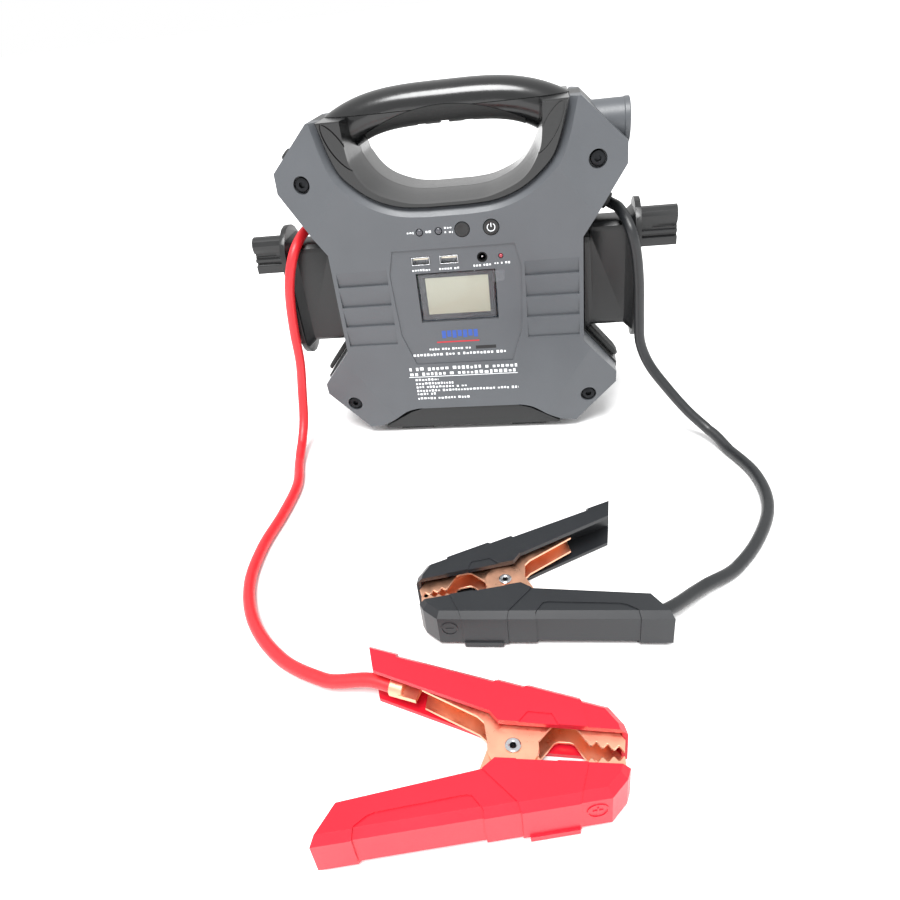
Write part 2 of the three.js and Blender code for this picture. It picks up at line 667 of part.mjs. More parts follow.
function screw(x, z) {
  const floor = pocketFloor(x, z);
  const head = alongY(
    [SCREW_HEAD_R - 0.6, SCREW_HEAD_R, SCREW_HEAD_R].map((r) => circle(r, 18, x, z)),
    [floor - GAP - 3.6, floor - GAP - 3, floor - GAP],
  );
  const shank = rodY(SHANK_R, x, z, floor - GAP - 0.5, BAND_Y + 4, 10);
  return cut(head.add(shank), slabY(circle(2.3, 6, x, z), floor - GAP - 5, floor - GAP - 1.4));
}

// ---- lamp head ----
function lightHousing() {
  const end = CORNER_X + LIGHT_OUT;
  const start = end - 29;
  const profile = [
    [LIGHT_R - 1.2, start],
    [LIGHT_R - 0.4, start + 1],
    [LIGHT_R - 0.4, end - 4],
    [LIGHT_R, end - 3.4],
    [LIGHT_R, end - 0.6],
    [LIGHT_R - 0.6, end],
  ];
  const outer = alongX(profile.map(([r]) => circle(r, 28, 0, LIGHT_Z)), profile.map(([, x]) => x));
  return cut(outer, rodX(LIGHT_R - 2, 0, LIGHT_Z, start + 2, end + 1, 24));
}

function lightReflector() {
  const end = CORNER_X + LIGHT_OUT;
  const r = LIGHT_R - 2 - GAP;
  const bowl = [
    [4, end - 14],
    [7.4, end - 11.5],
    [9.6, end - 8],
    [r - 0.9, end - 3.4],
    [r - 0.9, end - 2],
  ];
  const place = (profile) => alongX(profile.map(([q]) => circle(q, 18, 0, LIGHT_Z)), profile.map(([, x]) => x));
  const outer = place([
    [6, end - 14.5],
    [8.6, end - 12],
    [10.8, end - 8.5],
    [r, end - 4],
    [r, end - 3],
  ]);
  return outer.subtract(place(bowl)).subtract(rodX(3.4, 0, LIGHT_Z, end - 16, end - 12, 12));
}

const lightLens = () =>
  rodX(LIGHT_R - 2 - GAP, 0, LIGHT_Z, CORNER_X + LIGHT_OUT - 2.6, CORNER_X + LIGHT_OUT - 0.6, 24);

function lightEmitter() {
  const end = CORNER_X + LIGHT_OUT;
  const board = rodX(8, 0, LIGHT_Z, end - 17, end - 15.2, 14);
  return board.add(rodX(2.4, 0, LIGHT_Z, end - 15.4, end - 13, 10));
}

// ---- cable brackets ----
const FLANGE_X = WAIST_X + BRACKET_OUT;

// A rounded oblong in the YZ plane.
function oblong(half, low, high, steps = 10) {
  const arc = (z0, from) =>
    Array.from({ length: steps + 1 }, (_, i) => {
      const t = rad(from + (180 * i) / steps);
      return [half * Math.cos(t), z0 + half * Math.sin(t)];
    });
  return [...arc(high - half, 0), ...arc(low + half, 180)];
}

// The web section: a rectangle with rounded long edges.
function webRing(half, low, high) {
  const r = 7;
  const corner = (a, b, from) => [0, 30, 60, 90].map((d) => [a + r * Math.cos(rad(from + d)), b + r * Math.sin(rad(from + d))]);
  return [
    ...corner(half - r, high - r, 0),
    ...corner(-half + r, high - r, 90),
    ...corner(-half + r, low + r, 180),
    ...corner(half - r, low + r, 270),
  ];
}

// The clamp post section: a round bar over a neck and a flat foot rail.
function postRing() {
  const z = POST_HIGH_Z - POST_R;
  const foot = POST_HIGH_Z - 26.4;
  const round = [-40, -10, 20, 50, 80, 110, 140, 170, 200, 220].map((d) => [
    POST_R * Math.cos(rad(d)),
    z + POST_R * Math.sin(rad(d)),
  ]);
  return [
    ...round,
    [-4.2, foot + 11],
    [-6, foot + 10.4],
    [-6, foot + 8.4],
    [-4.2, foot + 7.8],
    [-4.2, foot + 6.4],
    [-7, foot + 5.8],
    [-7, foot],
    [7, foot],
    [7, foot + 5.8],
    [4.2, foot + 6.4],
    [4.2, foot + 7.8],
    [6, foot + 8.4],
    [6, foot + 10.4],
    [4.2, foot + 11],
  ];
}

function bracket(side) {
  const x0 = WAIST_X + FRAME_LIP + GAP;
  const low = WAIST_LOW_Z + 2;
  const high = WAIST_HIGH_Z + 4;
  const shoulderRise = (SHOULDER_Z - WAIST_HIGH_Z) / (CORNER_X - WAIST_X);
  const start = Math.max(x0 + 4.2, WAIST_X + FRAME_LIP + (high + 1 - WAIST_HIGH_Z) / shoulderRise);
  const base = slabX(webRing(WEB_HALF + 2.5, low - 1, WAIST_HIGH_Z - 2), x0, x0 + 3.4);
  const web = alongX(
    [webRing(WEB_HALF, low, high), webRing(WEB_HALF, low, high), webRing(WEB_HALF + 5, low - 5, high + 4.5)],
    [start, FLANGE_X - 6, FLANGE_X + 1],
  );
  const root = slabX(webRing(WEB_HALF, low, WAIST_HIGH_Z - 3), x0, start + 2);
  const flange = alongX(
    [oblong(FLANGE_R, FLANGE_LOW_Z, FLANGE_HIGH_Z), oblong(FLANGE_R, FLANGE_LOW_Z, FLANGE_HIGH_Z)],
    [FLANGE_X, FLANGE_X + FLANGE_THICK],
  );
  const post = slabX(postRing(), FLANGE_X + 1, FLANGE_X + FLANGE_THICK + POST_LONG);
  const tip = FLANGE_X + FLANGE_THICK + POST_LONG;
  const slot = boxOf(tip - 17, tip + 1, -POST_R - 1, -3.6, POST_HIGH_Z - 14, POST_HIGH_Z - 11.4);
  const whole = cut(join(base, root, web, flange, post), slot);
  return side > 0 ? whole : whole.mirror([1, 0, 0]);
}

// ---- inside ----
const batteryPack = () => boxOf(-58, 58, -12, 22, 32, 112);

function controlBoard() {
  const y = FRONT_Y + 13 + GAP;
  const board = boxOf(-54, 54, y, y + 1.6, 118, 172);
  const relay = boxOf(-40, -18, y + 1.5, y + 17, 140, 166);
  const inductor = rodY(8, 14, 152, y + 1.5, y + 12, 16);
  return join(board, relay, inductor);
}

// ---- cable glands and cables ----
function gland(side) {
  const outer = onShoulder(
    [
      [5.9, -7],
      [5.9, GAP],
      [8.2, GAP + 0.05],
      [8.2, GAP + 2.2],
      [6.6, GAP + 2.8],
      [5.8, GAP + 6],
    ],
    side,
  );
  const bore = CABLE_R + GAP * 2;
  return outer.subtract(onShoulder([[bore, -9], [bore, 14]], side));
}

const exitPoint = (side, out) => {
  const p = GLAND_AT.clone().addScaledVector(SHOULDER_OUT, out);
  return new THREE.Vector3(p.x * side, 0, p.z);
};
const FRONT_OF_FLANGE = -(FLANGE_R + CABLE_R + 1.2);
const FLOOR_Z = CABLE_R + 0.1;
const at = (x, y, z) => new THREE.Vector3(x, y, z);

// A point in a clamp's own frame (u to the nose, v to the cable half) in the part's frame.
function fromClamp(clamp, u, v, z) {
  const [c, s] = [Math.cos(rad(clamp.turn)), Math.sin(rad(clamp.turn))];
  return at(clamp.x + u * c - v * s, clamp.y + u * s + v * c, z);
}
const TAIL_RUN = new THREE.Vector2(TAIL_U + 42, NOSE_V - TAIL_V).normalize();
const LUG = { u: -TAIL_U + 14, v: TAIL_V - 17, z: CLAMP_TALL / 2 };
const lugPoint = (clamp, back) => fromClamp(clamp, LUG.u - TAIL_RUN.x * back, LUG.v - TAIL_RUN.y * back, LUG.z);

function cableBody(points) {
  const path = new THREE.CatmullRomCurve3(points, false, "centripetal");
  const shape = new THREE.Shape(circle(CABLE_R, 8).map(([a, b]) => new THREE.Vector2(a, b)));
  const steps = Math.round(path.getLength() / (CABLE_R * 4.5));
  return solid(new THREE.ExtrudeGeometry(shape, { steps, extrudePath: path, bevelEnabled: false }));
}

// Over the web, down in front of the left flange, out across the floor and into the red clamp.
function redCable() {
  const x = -FLANGE_X;
  const y = FRONT_OF_FLANGE;
  return cableBody([
    exitPoint(-1, -6),
    exitPoint(-1, 0),
    exitPoint(-1, 8),
    at(x + 11.5, -7.5, WAIST_HIGH_Z + 9.5),
    at(x + 7.4, -21, WAIST_HIGH_Z + 1),
    at(x + 2.1, y - 0.5, WAIST_HIGH_Z - 15),
    at(x - 2.1, y - 0.5, 119),
    at(x - 4.8, y - 0.5, 94),
    at(x - 5.8, y - 1.5, 68),
    at(x - 8.8, y - 5, 43),
    at(x - 9.5, y - 15, 22),
    at(-135.5, -57, 9),
    at(-133.5, -74, FLOOR_Z),
    at(-126, -105, FLOOR_Z),
    at(-126, -140, FLOOR_Z),
    at(-129, -176, FLOOR_Z),
    at(-125.5, -211, FLOOR_Z),
    at(-111, -243, FLOOR_Z),
    at(-86, -269, FLOOR_Z),
    at(-56, -285, FLOOR_Z + 3),
    lugPoint(RED_CLAMP, 12),
    lugPoint(RED_CLAMP, -3),
  ]);
}

// The same on the right, into the black clamp.
function blackCable() {
  const x = FLANGE_X;
  const y = FRONT_OF_FLANGE;
  return cableBody([
    exitPoint(1, -6),
    exitPoint(1, 0),
    exitPoint(1, 8),
    at(x - 10.5, -8.5, WAIST_HIGH_Z + 11),
    at(x - 4, -24.5, WAIST_HIGH_Z + 0.5),
    at(x + 0.2, y - 0.5, WAIST_HIGH_Z - 16),
    at(x + 2.7, y - 0.5, 114),
    at(x + 3.8, y - 0.5, 88),
    at(x + 5.2, y - 1.5, 70),
    at(x + 12, y - 4, 53),
    at(x + 25, y - 11, 36),
    at(x + 40, y - 20, 20),
    at(180, -56, 9),
    at(191, -76, FLOOR_Z),
    at(201.5, -106, FLOOR_Z),
    at(201, -139, FLOOR_Z),
    at(188, -171, FLOOR_Z),
    at(168, -199, FLOOR_Z),
    at(145, -218, FLOOR_Z + 3),
    lugPoint(BLACK_CLAMP, 12),
    lugPoint(BLACK_CLAMP, -3),
  ]);
}

// ---- booster clamps, in their own frame ----
const flip = (ring, side) => ring.map(([u, v]) => [u, v * side]);
const COVER = [
  [NOSE_U, 8],
  [NOSE_U - 1.5, 13],
  [NOSE_U - 8, NOSE_V],
  [-TAIL_U, TAIL_V],
  [-TAIL_U + 6.5, TAIL_V - 17.5],
  [-12, 14.5],
  [-7, 9.2],
];
const isOuter = (i) => i <= 2;

// Where a raised band of the cover starts and ends: two slanted cuts across the half.
const bandRing = (front, back, slant) => [
  [front, -5],
  [front - slant, 70],
  [back - slant, 70],
  [back, -5],
];

function cover(side) {
  const shape = (inset) => flip(offset(COVER, (i) => (isOuter(i) ? inset : 0)), side);
  const skin = (grow, z0, z1) =>
    alongZ([shape(CLAMP_BEVEL - grow), shape(-grow), shape(-grow), shape(CLAMP_BEVEL - grow)], [
      z0,
      z0 + CLAMP_BEVEL,
      z1 - CLAMP_BEVEL,
      z1,
    ]);
  let blank = skin(0, 0, CLAMP_TALL);
  const raised = skin(0.8, 0, CLAMP_TALL + 0.8);
  blank = blank.add(raised.intersect(slabZ(flip(bandRing(36, -26, 30), side), -1, 40)));
  blank = blank.add(raised.intersect(slabZ(flip([[-66, 10], [-66, 80], [-95, 80], [-95, 10]], side), -1, 40)));
  const hollow = offset(COVER, (i) => (isOuter(i) ? CLAMP_WALL : -12));
  blank = cut(blank, slabZ(flip(hollow, side), CLAMP_WALL, CLAMP_TALL - CLAMP_WALL));
  const panel = [
    [-58, 47.5],
    [-53, 38],
    [-24, 29],
    [-14, 36.5],
  ];
  return cut(blank, slabZ(flip(panel, side), CLAMP_TALL - 0.6, CLAMP_TALL + 2));
}

// Jaw cheek outline: tail in the handle, lobe round the rivet, toothed edge to the nose.
function cheekRing() {
  const teeth = [];
  for (let u = NOSE_U - 2; u > 22; u -= TOOTH_PITCH) {
    teeth.push([u, 0.4]);
    teeth.push([u - TOOTH_PITCH / 2, 0.4 + TOOTH_TALL]);
  }
  const lobe = [-5, -35, -65, -95, -125, -155, -185].map((d) => [11.5 * Math.cos(rad(d)), 11.5 * Math.sin(rad(d))]);
  return [
    [NOSE_U - 1.4, 6],
    ...teeth,
    [20, 5.5],
    [16, 5.8],
    ...lobe,
    [-14, 11],
    [-46, 27],
    [-46, 40.5],
    [NOSE_U - 9.5, NOSE_V - 4],
  ];
}

function jaw(side, low, high) {
  const ring = flip(cheekRing(), side);
  const solidJaw = slabZ(ring, low, high);
  const web = flip(
    [
      [-60, 80],
      [-60, 40.7 + 14 * 0.254],
      [NOSE_U - 9.5, NOSE_V - 5.5],
      [60, 8],
      [60, 80],
    ],
    side,
  );
  const space = slabZ(flip([[70, -20], [70, 80], [-70, 80], [-70, -20]], side), low + SHEET, high - SHEET);
  const hollow = space.subtract(slabZ(web, low, high));
  return cut(solidJaw, hollow, rodZ(RIVET_R + GAP, 0, 0, low - 1, high + 1));
}

function rivet(low, high) {
  const head = (z0, z1) => rodZ(4.4, 0, 0, z0, z1, 16);
  const tube = join(rodZ(RIVET_R, 0, 0, low - 1, high + 1, 16), head(low - 1, low - GAP), head(high + GAP, high + 1));
  return tube.subtract(rodZ(1.7, 0, 0, low - 3, high + 3, 12));
}

// A torsion spring round the rivet, its two legs laid along the handles.
function spring(low, high) {
  const turns = 4;
  const wire = 0.8;
  const r = 5.6;
  const points = [at(-20, 10, low + wire + GAP)];
  const steps = turns * 8 + 3;
  for (let i = 0; i <= steps; i++) {
    const t = rad(125) + (i / steps) * (turns * 2 * Math.PI + rad(110));
    const z = low + wire + GAP + (i / steps) * (high - low - 2 * (wire + GAP));
    points.push(at(r * Math.cos(t), r * Math.sin(t), z));
  }
  points.push(at(-20, -10, high - wire - GAP));
  const path = new THREE.CatmullRomCurve3(points, false, "centripetal");
  const shape = new THREE.Shape(circle(wire, 5).map(([a, b]) => new THREE.Vector2(a, b)));
  return solid(new THREE.ExtrudeGeometry(shape, { steps: 46, extrudePath: path, bevelEnabled: false }));
}

// The cable lug: a crimp barrel with a flat tongue lying on the jaw's tail.
function lug() {
  const side = new THREE.Vector2(-TAIL_RUN.y, TAIL_RUN.x);
  const ring = (r) => circle(r, 12);
  const place = (backs) => (a, b, k) => [
    LUG.u - TAIL_RUN.x * backs[k] + side.x * a,
    LUG.v - TAIL_RUN.y * backs[k] + side.y * a,
    LUG.z + b,
  ];
  const barrel = loft([ring(5.3), ring(5.3)], place([6, -8]));
  const bore = loft([ring(CABLE_R + GAP), ring(CABLE_R + GAP)], place([8, -5]));
  const tongue = [
    [-5, -1.2],
    [5, -1.2],
    [5, 1.2],
    [-5, 1.2],
  ];
  return barrel.add(loft([tongue, tongue], place([-6, -16]))).subtract(bore);
}

function clamp(name, spec, plastic) {
  const put = (part, body, material) =>
    keep(name + "_" + part, body.rotate([0, 0, spec.turn]).translate([spec.x, spec.y, 0]), material);
  const low = 4.2;
  const high = CLAMP_TALL - 4.2;
  const step = SHEET + 0.4;
  put("cover_cable_half", cover(1), plastic);
  put("cover_free_half", cover(-1), plastic);
  put("jaw_cable_half", jaw(1, low, high), COPPER);
  put("jaw_free_half", jaw(-1, low + step, high - step), COPPER);
  put("rivet", rivet(low, high), STEEL);
  put("spring", spring(low + 2 * step, high - 2 * step), STEEL);
  put("cable_lug", lug(), COPPER);
}

// ---- assembly ----
keep("front_shell", frontShell(), GREY);
keep("rear_shell", rearShell(), GREY);
keep("mid_frame", midFrame(), BLACK);
keep("flank_pad_left", flankPad(-1), RUBBER);
keep("flank_pad_right", flankPad(1), RUBBER);
keep("handle_front", handleHalf(-1, MOUTH_FLARE), GLOSS_BLACK);
keep("handle_rear", handleHalf(1, MOUTH_FLARE * 0.3), GLOSS_BLACK);
keep("handle_grip", grip(), RUBBER);
for (const [place, x, z] of SCREWS) keep("case_screw_" + place, screw(x, z), DARK_STEEL);
for (const [row, y] of [["front", -FOOT_Y], ["rear", FOOT_Y]])
  for (const [end, x] of [["left", -FOOT_X], ["right", FOOT_X]]) keep("foot_" + row + "_" + end, foot(x, y), RUBBER);
keep("bracket_left", bracket(-1), BLACK);
keep("bracket_right", bracket(1), BLACK);
keep("display_lens", displayLens(), CLEAR);
keep("screen_film", screenFilm(), GLASSY);
keep("lcd_module", lcdModule(), LCD);
for (const n of [1, 2]) {
  keep("usb_shell_" + n, usbShell(CONTROLS["usb" + n]), STEEL);
  keep("usb_tongue_" + n, usbTongue(CONTROLS["usb" + n]), CREAM);
}
keep("dc_jack", dcJack(), BLACK);
keep("led_12v", lamp(LED_R, CONTROLS.led12, ROW_Z, FRONT_Y + 0.4), GLASSY);
keep("led_24v", lamp(LED_R, CONTROLS.led24, ROW_Z, FRONT_Y + 0.4), GLASSY);
keep("led_reverse", lamp(SMALL_LED_R, CONTROLS.reverse, PORT_Z, PANEL_Y + 0.3), RED);
keep("override_button", button(OVERRIDE_R, CONTROLS.override), BLACK);
keep("power_button", button(POWER_R, CONTROLS.power), BLACK);
keep("light_housing", lightHousing(), GREY);
keep("light_reflector", lightReflector(), CHROME);
keep("light_lens", lightLens(), CLEAR);
keep("light_emitter", lightEmitter(), CREAM);
keep("light_button", onChamfer([[SWITCH_R + 1.2, -6.4], [SWITCH_R + 1.2, -5], [SWITCH_R, -4.9], [SWITCH_R, 3.6], [SWITCH_R - 1, 4.6]]), RUBBER);
keep("battery_pack", batteryPack(), paint(0x2f4f6f, 0.6));
keep("control_board", controlBoard(), GREEN);
keep("gland_red", gland(-1), RUBBER);
keep("gland_black", gland(1), RUBBER);
keep("red_cable", redCable(), RED_RUBBER);
keep("black_cable", blackCable(), RUBBER);
clamp("red_clamp", RED_CLAMP, RED);
clamp("black_clamp", BLACK_CLAMP, BLACK);

export default group;
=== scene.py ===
"""Jump starter pack with two booster clamps: its looks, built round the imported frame.

Shapes are drawn in millimetres, X right, Y away from the front face, Z up, and scaled to metres when they are
finished. Each operator below makes one piece or one group of like pieces.
"""

import math
import random

import bmesh
import bpy
from bpy.props import FloatProperty, FloatVectorProperty, IntProperty, PointerProperty
from mathutils import Matrix, Vector


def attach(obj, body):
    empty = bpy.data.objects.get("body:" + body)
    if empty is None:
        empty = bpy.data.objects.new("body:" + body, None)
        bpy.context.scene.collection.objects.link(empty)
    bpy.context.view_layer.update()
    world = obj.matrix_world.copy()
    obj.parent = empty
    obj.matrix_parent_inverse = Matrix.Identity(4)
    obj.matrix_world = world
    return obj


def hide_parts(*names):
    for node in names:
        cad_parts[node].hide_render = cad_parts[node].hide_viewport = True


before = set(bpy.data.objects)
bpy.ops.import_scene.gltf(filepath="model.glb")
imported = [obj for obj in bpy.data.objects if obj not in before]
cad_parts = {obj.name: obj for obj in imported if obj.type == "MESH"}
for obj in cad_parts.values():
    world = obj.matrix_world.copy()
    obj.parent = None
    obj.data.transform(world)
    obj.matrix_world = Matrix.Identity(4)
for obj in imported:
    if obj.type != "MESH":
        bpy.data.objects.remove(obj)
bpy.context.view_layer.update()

bl_info = {
    "name": "Jump Starter Pack",
    "version": (1, 0, 0),
    "blender": (4, 5, 0),
    "location": "3D View > Sidebar > Jump Starter",
    "description": "Builds a jump starter pack with its booster cables and clamps",
    "category": "Object",
}

MM = 0.001

# ---- sizes of the frame, in millimetres ----
GAP = 0.3
WALL = 2.8
CORNER_X, LOW_CORNER_X, WAIST_X, TOE_X = 119, 114.5, 90, 84
BOWL_X, ARCH_X = 82.5, 41
TOE_Z, ARCH_Z, LOW_CORNER_Z, LOW_SHOULDER_Z = 6, 24, 38, 47
WAIST_LOW_Z, WAIST_HIGH_Z = 76.5, 152.5
SHOULDER_Z, TIP_Z, TOP_Z, BOWL_Z = 196, 209.3, 238.5, 178.9
FRONT_Y, BACK_Y, BAND_Y = -32.5, 32.5, 12
FRAME_LIP = 1.2
ARM_SLOPE = 10
REAR_TAPER = 9
HANDLE_TOP_Z, HANDLE_TALL, HANDLE_DEEP = 253.5, 26, 30
GRIP_X, GRIP_THICK = 39, 3
SCREWS = {
    "top_left": (-99.7, 201),
    "top_right": (99.7, 201),
    "bottom_left": (-93.5, 29),
    "bottom_right": (93.5, 29),
}
POCKET_R, SCREW_HEAD_R, SHANK_R = 6, 4.9, 1.8
PANEL_Y = FRONT_Y + 0.8
ROW_Z, PORT_Z = 163.9, 143.4
LED_12_X, LED_24_X, OVERRIDE_X, POWER_X = -21.8, -8.4, 8.1, 28.1
USB_X, JACK_X, REVERSE_X = (-23.7, -3.4), 20.2, 33.3
LED_R, SMALL_LED_R, OVERRIDE_R, POWER_R = 2.4, 1.5, 5.1, 5.4
USB_WIDE, USB_TALL, JACK_R, JACK_HOLE_R = 13.1, 5.7, 3.4, 2.75
LCD_X, LCD_LOW_Z, LCD_HIGH_Z = 28.4, 97.3, 134.2
LIGHT_R, LIGHT_Z, LIGHT_END = 14.2, 218.3, CORNER_X + 2.5
FLANGE_X, FLANGE_THICK, FLANGE_R = 126, 4, 21.5
FLANGE_LOW_Z, FLANGE_HIGH_Z = 66, 168
WEB_HALF, POST_LONG, POST_R, POST_HIGH_Z = 14.5, 26, 6.8, 161
CABLE_R = 3.75
FOOT_X, FOOT_Y, FOOT_LONG, FOOT_WIDE, FOOT_TALL = 46, 18, 28, 10, 4

# ---- sizes of the booster clamps, u from the rivet to the nose, v to the cable half ----
CLAMP_TALL, CLAMP_WALL, CLAMP_BEVEL = 24, 2.4, 3.2
NOSE_U, TAIL_U, TAIL_V, NOSE_V = 50, 78, 51.5, 21.5
SHEET, RIVET_R = 1.4, 2.8
CLAMPS = {"red_clamp": (44.3, -328.1, -1.8), "black_clamp": (36.5, -223.9, -165.6)}


def linear(code):
    """An sRGB hex colour as linear RGB."""
    parts = [int(code[i : i + 2], 16) / 255 for i in (0, 2, 4)]
    return [c / 12.92 if c <= 0.04045 else ((c + 0.055) / 1.055) ** 2.4 for c in parts]


def colour(name, code, words):
    return FloatVectorProperty(
        name=name, description=words, default=linear(code), size=3, subtype="COLOR", min=0, max=1
    )


class PackSizes(bpy.types.PropertyGroup):
    """Sizes that can be changed without changing the frame."""

    edge_round: FloatProperty(
        name="Edge rounding", description="Radius on moulded edges", default=0.6 * MM, unit="LENGTH"
    )
    bowl_bevel: FloatProperty(
        name="Bowl bevel", description="Bevel along the handle bowl", default=5.2 * MM, unit="LENGTH"
    )
    facets: IntProperty(name="Round segments", description="Segments of a full circle", default=64, min=24)
    cable_wide: FloatProperty(
        name="Cable diameter", description="Outside of the cable jacket", default=2 * CABLE_R * MM, unit="LENGTH"
    )


class PackColours(bpy.types.PropertyGroup):
    """Colours of the moulded and metal pieces."""

    shell: colour("Shell", "4F5256", "Grey ABS of the front and rear shells")
    frame_black: colour("Black", "131415", "Black plastic of the frame and brackets")
    handle: colour("Handle", "0C0D0E", "Glossy black of the carry handle")
    red: colour("Red clamp", "C8142A", "Red plastic of the positive clamp")
    red_jacket: colour("Red cable", "D4222A", "Jacket of the positive cable")
    copper: colour("Copper", "FAC0A0", "Copper plating of the jaws")
    print_white: colour("Print", "E9ECEE", "White pad print")


def sizes():
    return bpy.context.scene.pack_sizes


def colours():
    return bpy.context.scene.pack_colours


# ---- outlines in the XZ plane ----
def rad(degrees):
    return math.radians(degrees)


def both_sides(half):
    """A closed outline from its right half, which runs from the bottom to the top."""
    return list(half) + [(-x, z) for x, z in reversed(half)]


def smooth_run(points, per):
    """A curve through the points, per steps to each stretch; the ends are kept."""
    run = []
    for i in range(len(points) - 1):
        a, b = Vector(points[max(i - 1, 0)]), Vector(points[i])
        c, d = Vector(points[i + 1]), Vector(points[min(i + 2, len(points) - 1)])
        for k in range(per):
            t = k / per
            run.append(
                0.5 * ((2 * b) + (c - a) * t + (2 * a - 5 * b + 4 * c - d) * t**2 + (3 * b - a - 3 * c + d) * t**3)
            )
    return [tuple(p) for p in run] + [tuple(points[-1])]


def area(ring):
    pairs = zip(ring, list(ring[1:]) + [ring[0]])
    return sum(a * d - b * c for (a, b), (c, d) in pairs) / 2


def offset(ring, inset):
    """The ring moved inwards; inset is a distance, or a function of the edge's number."""
    by = inset if callable(inset) else lambda i: inset
    n = len(ring)
    sign = 1 if area(ring) > 0 else -1

    def line(i):
        (a, b), (c, d) = ring[i], ring[(i + 1) % n]
        long = math.hypot(c - a, d - b)
        nx, nz = -(d - b) / long * sign, (c - a) / long * sign
        return nx, nz, nx * a + nz * b + by(i)

    moved = []
    for i, (x, z) in enumerate(ring):
        ex, ez, ew = line((i - 1) % n)
        fx, fz, fw = line(i)
        det = ex * fz - ez * fx
        if abs(det) < 0.02:
            moved.append((x + fx * by(i), z + fz * by(i)))
        else:
            moved.append(((ew * fz - fw * ez) / det, (fw * ex - ew * fx) / det))
    return moved


def inner(ring, inset):
    """The ring moved inwards, less the short edges that such a move would turn round."""
    ring = list(ring)
    while True:
        moved, n = offset(ring, inset), len(ring)

        def edge(points, i):
            return Vector(points[(i + 1) % n]) - Vector(points[i % n])

        reversed_edges = [i for i in range(n) if edge(moved, i).dot(edge(ring, i)) < 0]
        if not reversed_edges:
            return moved
        i = reversed_edges[0]
        bend = {k % n: edge(ring, k - 1).angle(edge(ring, k)) for k in (i, i + 1)}
        del ring[min(bend, key=bend.get)]


def circle(r, n=None, a0=0.0, b0=0.0, start=0.0):
    n = n or sizes().facets
    steps = (rad(start) + i * 2 * math.pi / n for i in range(n))
    return [(a0 + r * math.cos(t), b0 + r * math.sin(t)) for t in steps]


def arc(r, a0, b0, start, end, n):
    steps = (rad(start + (end - start) * i / n) for i in range(n + 1))
    return [(a0 + r * math.cos(t), b0 + r * math.sin(t)) for t in steps]


BOWL_SIDE = ((1, 1), (0.976, 0.86), (0.935, 0.64), (0.873, 0.44), (0.764, 0.28), (0.643, 0.155), (0.51, 0.07))


def bowl_half(per=5):
    """The handle bowl, right half, from its mouth down to its floor."""
    drop = TOP_Z - BOWL_Z
    side = [(BOWL_X * fx, BOWL_Z + drop * fz) for fx, fz in BOWL_SIDE]
    return smooth_run(side + [(BOWL_X * 0.36, BOWL_Z + 1.1), (BOWL_X * 0.17, BOWL_Z)], per)


def body_half(lip=0.0):
    arch = [(ARCH_X, ARCH_Z), (ARCH_X + 10, ARCH_Z - 2.7), (ARCH_X + 23, TOE_Z + 6.8), (TOE_X - 11, TOE_Z + 2)]
    return [
        *smooth_run(arch, 4),
        (TOE_X, TOE_Z),
        (LOW_CORNER_X + lip / 2, LOW_CORNER_Z),
        (LOW_CORNER_X + lip, LOW_SHOULDER_Z + lip / 2),
        (WAIST_X + lip, WAIST_LOW_Z + lip / 2),
        (WAIST_X + lip, WAIST_HIGH_Z - lip / 2),
        (CORNER_X + lip, SHOULDER_Z - lip / 2),
        (CORNER_X, TIP_Z),
        (CORNER_X - 29.5, TOP_Z),
        *bowl_half(),
    ]


# ---- mesh helpers ----
def link(name, mesh):
    obj = bpy.data.objects.new(name, mesh)
    bpy.context.scene.collection.objects.link(obj)
    return obj


def from_bmesh(name, bm):
    bmesh.ops.recalc_face_normals(bm, faces=bm.faces)
    mesh = bpy.data.meshes.new(name)
    bm.to_mesh(mesh)
    bm.free()
    return link(name, mesh)


def loft(name, rings):
    """One face through the first ring, extruded from ring to ring; every ring has as many points."""
    bm = bmesh.new()
    cap = bm.faces.new([bm.verts.new(p) for p in rings[0]])
    for k, ring in enumerate(rings[1:]):
        made = bmesh.ops.extrude_face_region(bm, geom=[cap], use_keep_orig=k == 0)["geom"]
        if k and cap.is_valid:
            bmesh.ops.delete(bm, geom=[cap], context="FACES_ONLY")
        cap = next(f for f in made if isinstance(f, bmesh.types.BMFace))
        for vert, p in zip(cap.verts, ring):
            vert.co = p
    return from_bmesh(name, bm)


def slab(name, ring, low, high, axis="Y"):
    """A flat outline extruded along one axis."""
    place = {
        "X": lambda a, b, h: (h, a, b),
        "Y": lambda a, b, h: (a, h, b),
        "Z": lambda a, b, h: (a, b, h),
    }[axis]
    return loft(name, [[place(a, b, h) for a, b in ring] for h in (low, high)])


def stack(name, layers, axis="Y"):
    """Rings at heights along one axis: layers are (ring, height)."""
    place = {"X": lambda a, b, h: (h, a, b), "Y": lambda a, b, h: (a, h, b), "Z": lambda a, b, h: (a, b, h)}[axis]
    return loft(name, [[place(a, b, h) for a, b in ring] for ring, h in layers])


def block(name, x0, x1, y0, y1, z0, z1):
    return slab(name, [(x0, y0), (x1, y0), (x1, y1), (x0, y1)], z0, z1, "Z")


AXES = {"X": Matrix.Rotation(rad(90), 4, "Y"), "Y": Matrix.Rotation(rad(-90), 4, "X"), "Z": Matrix.Identity(4)}


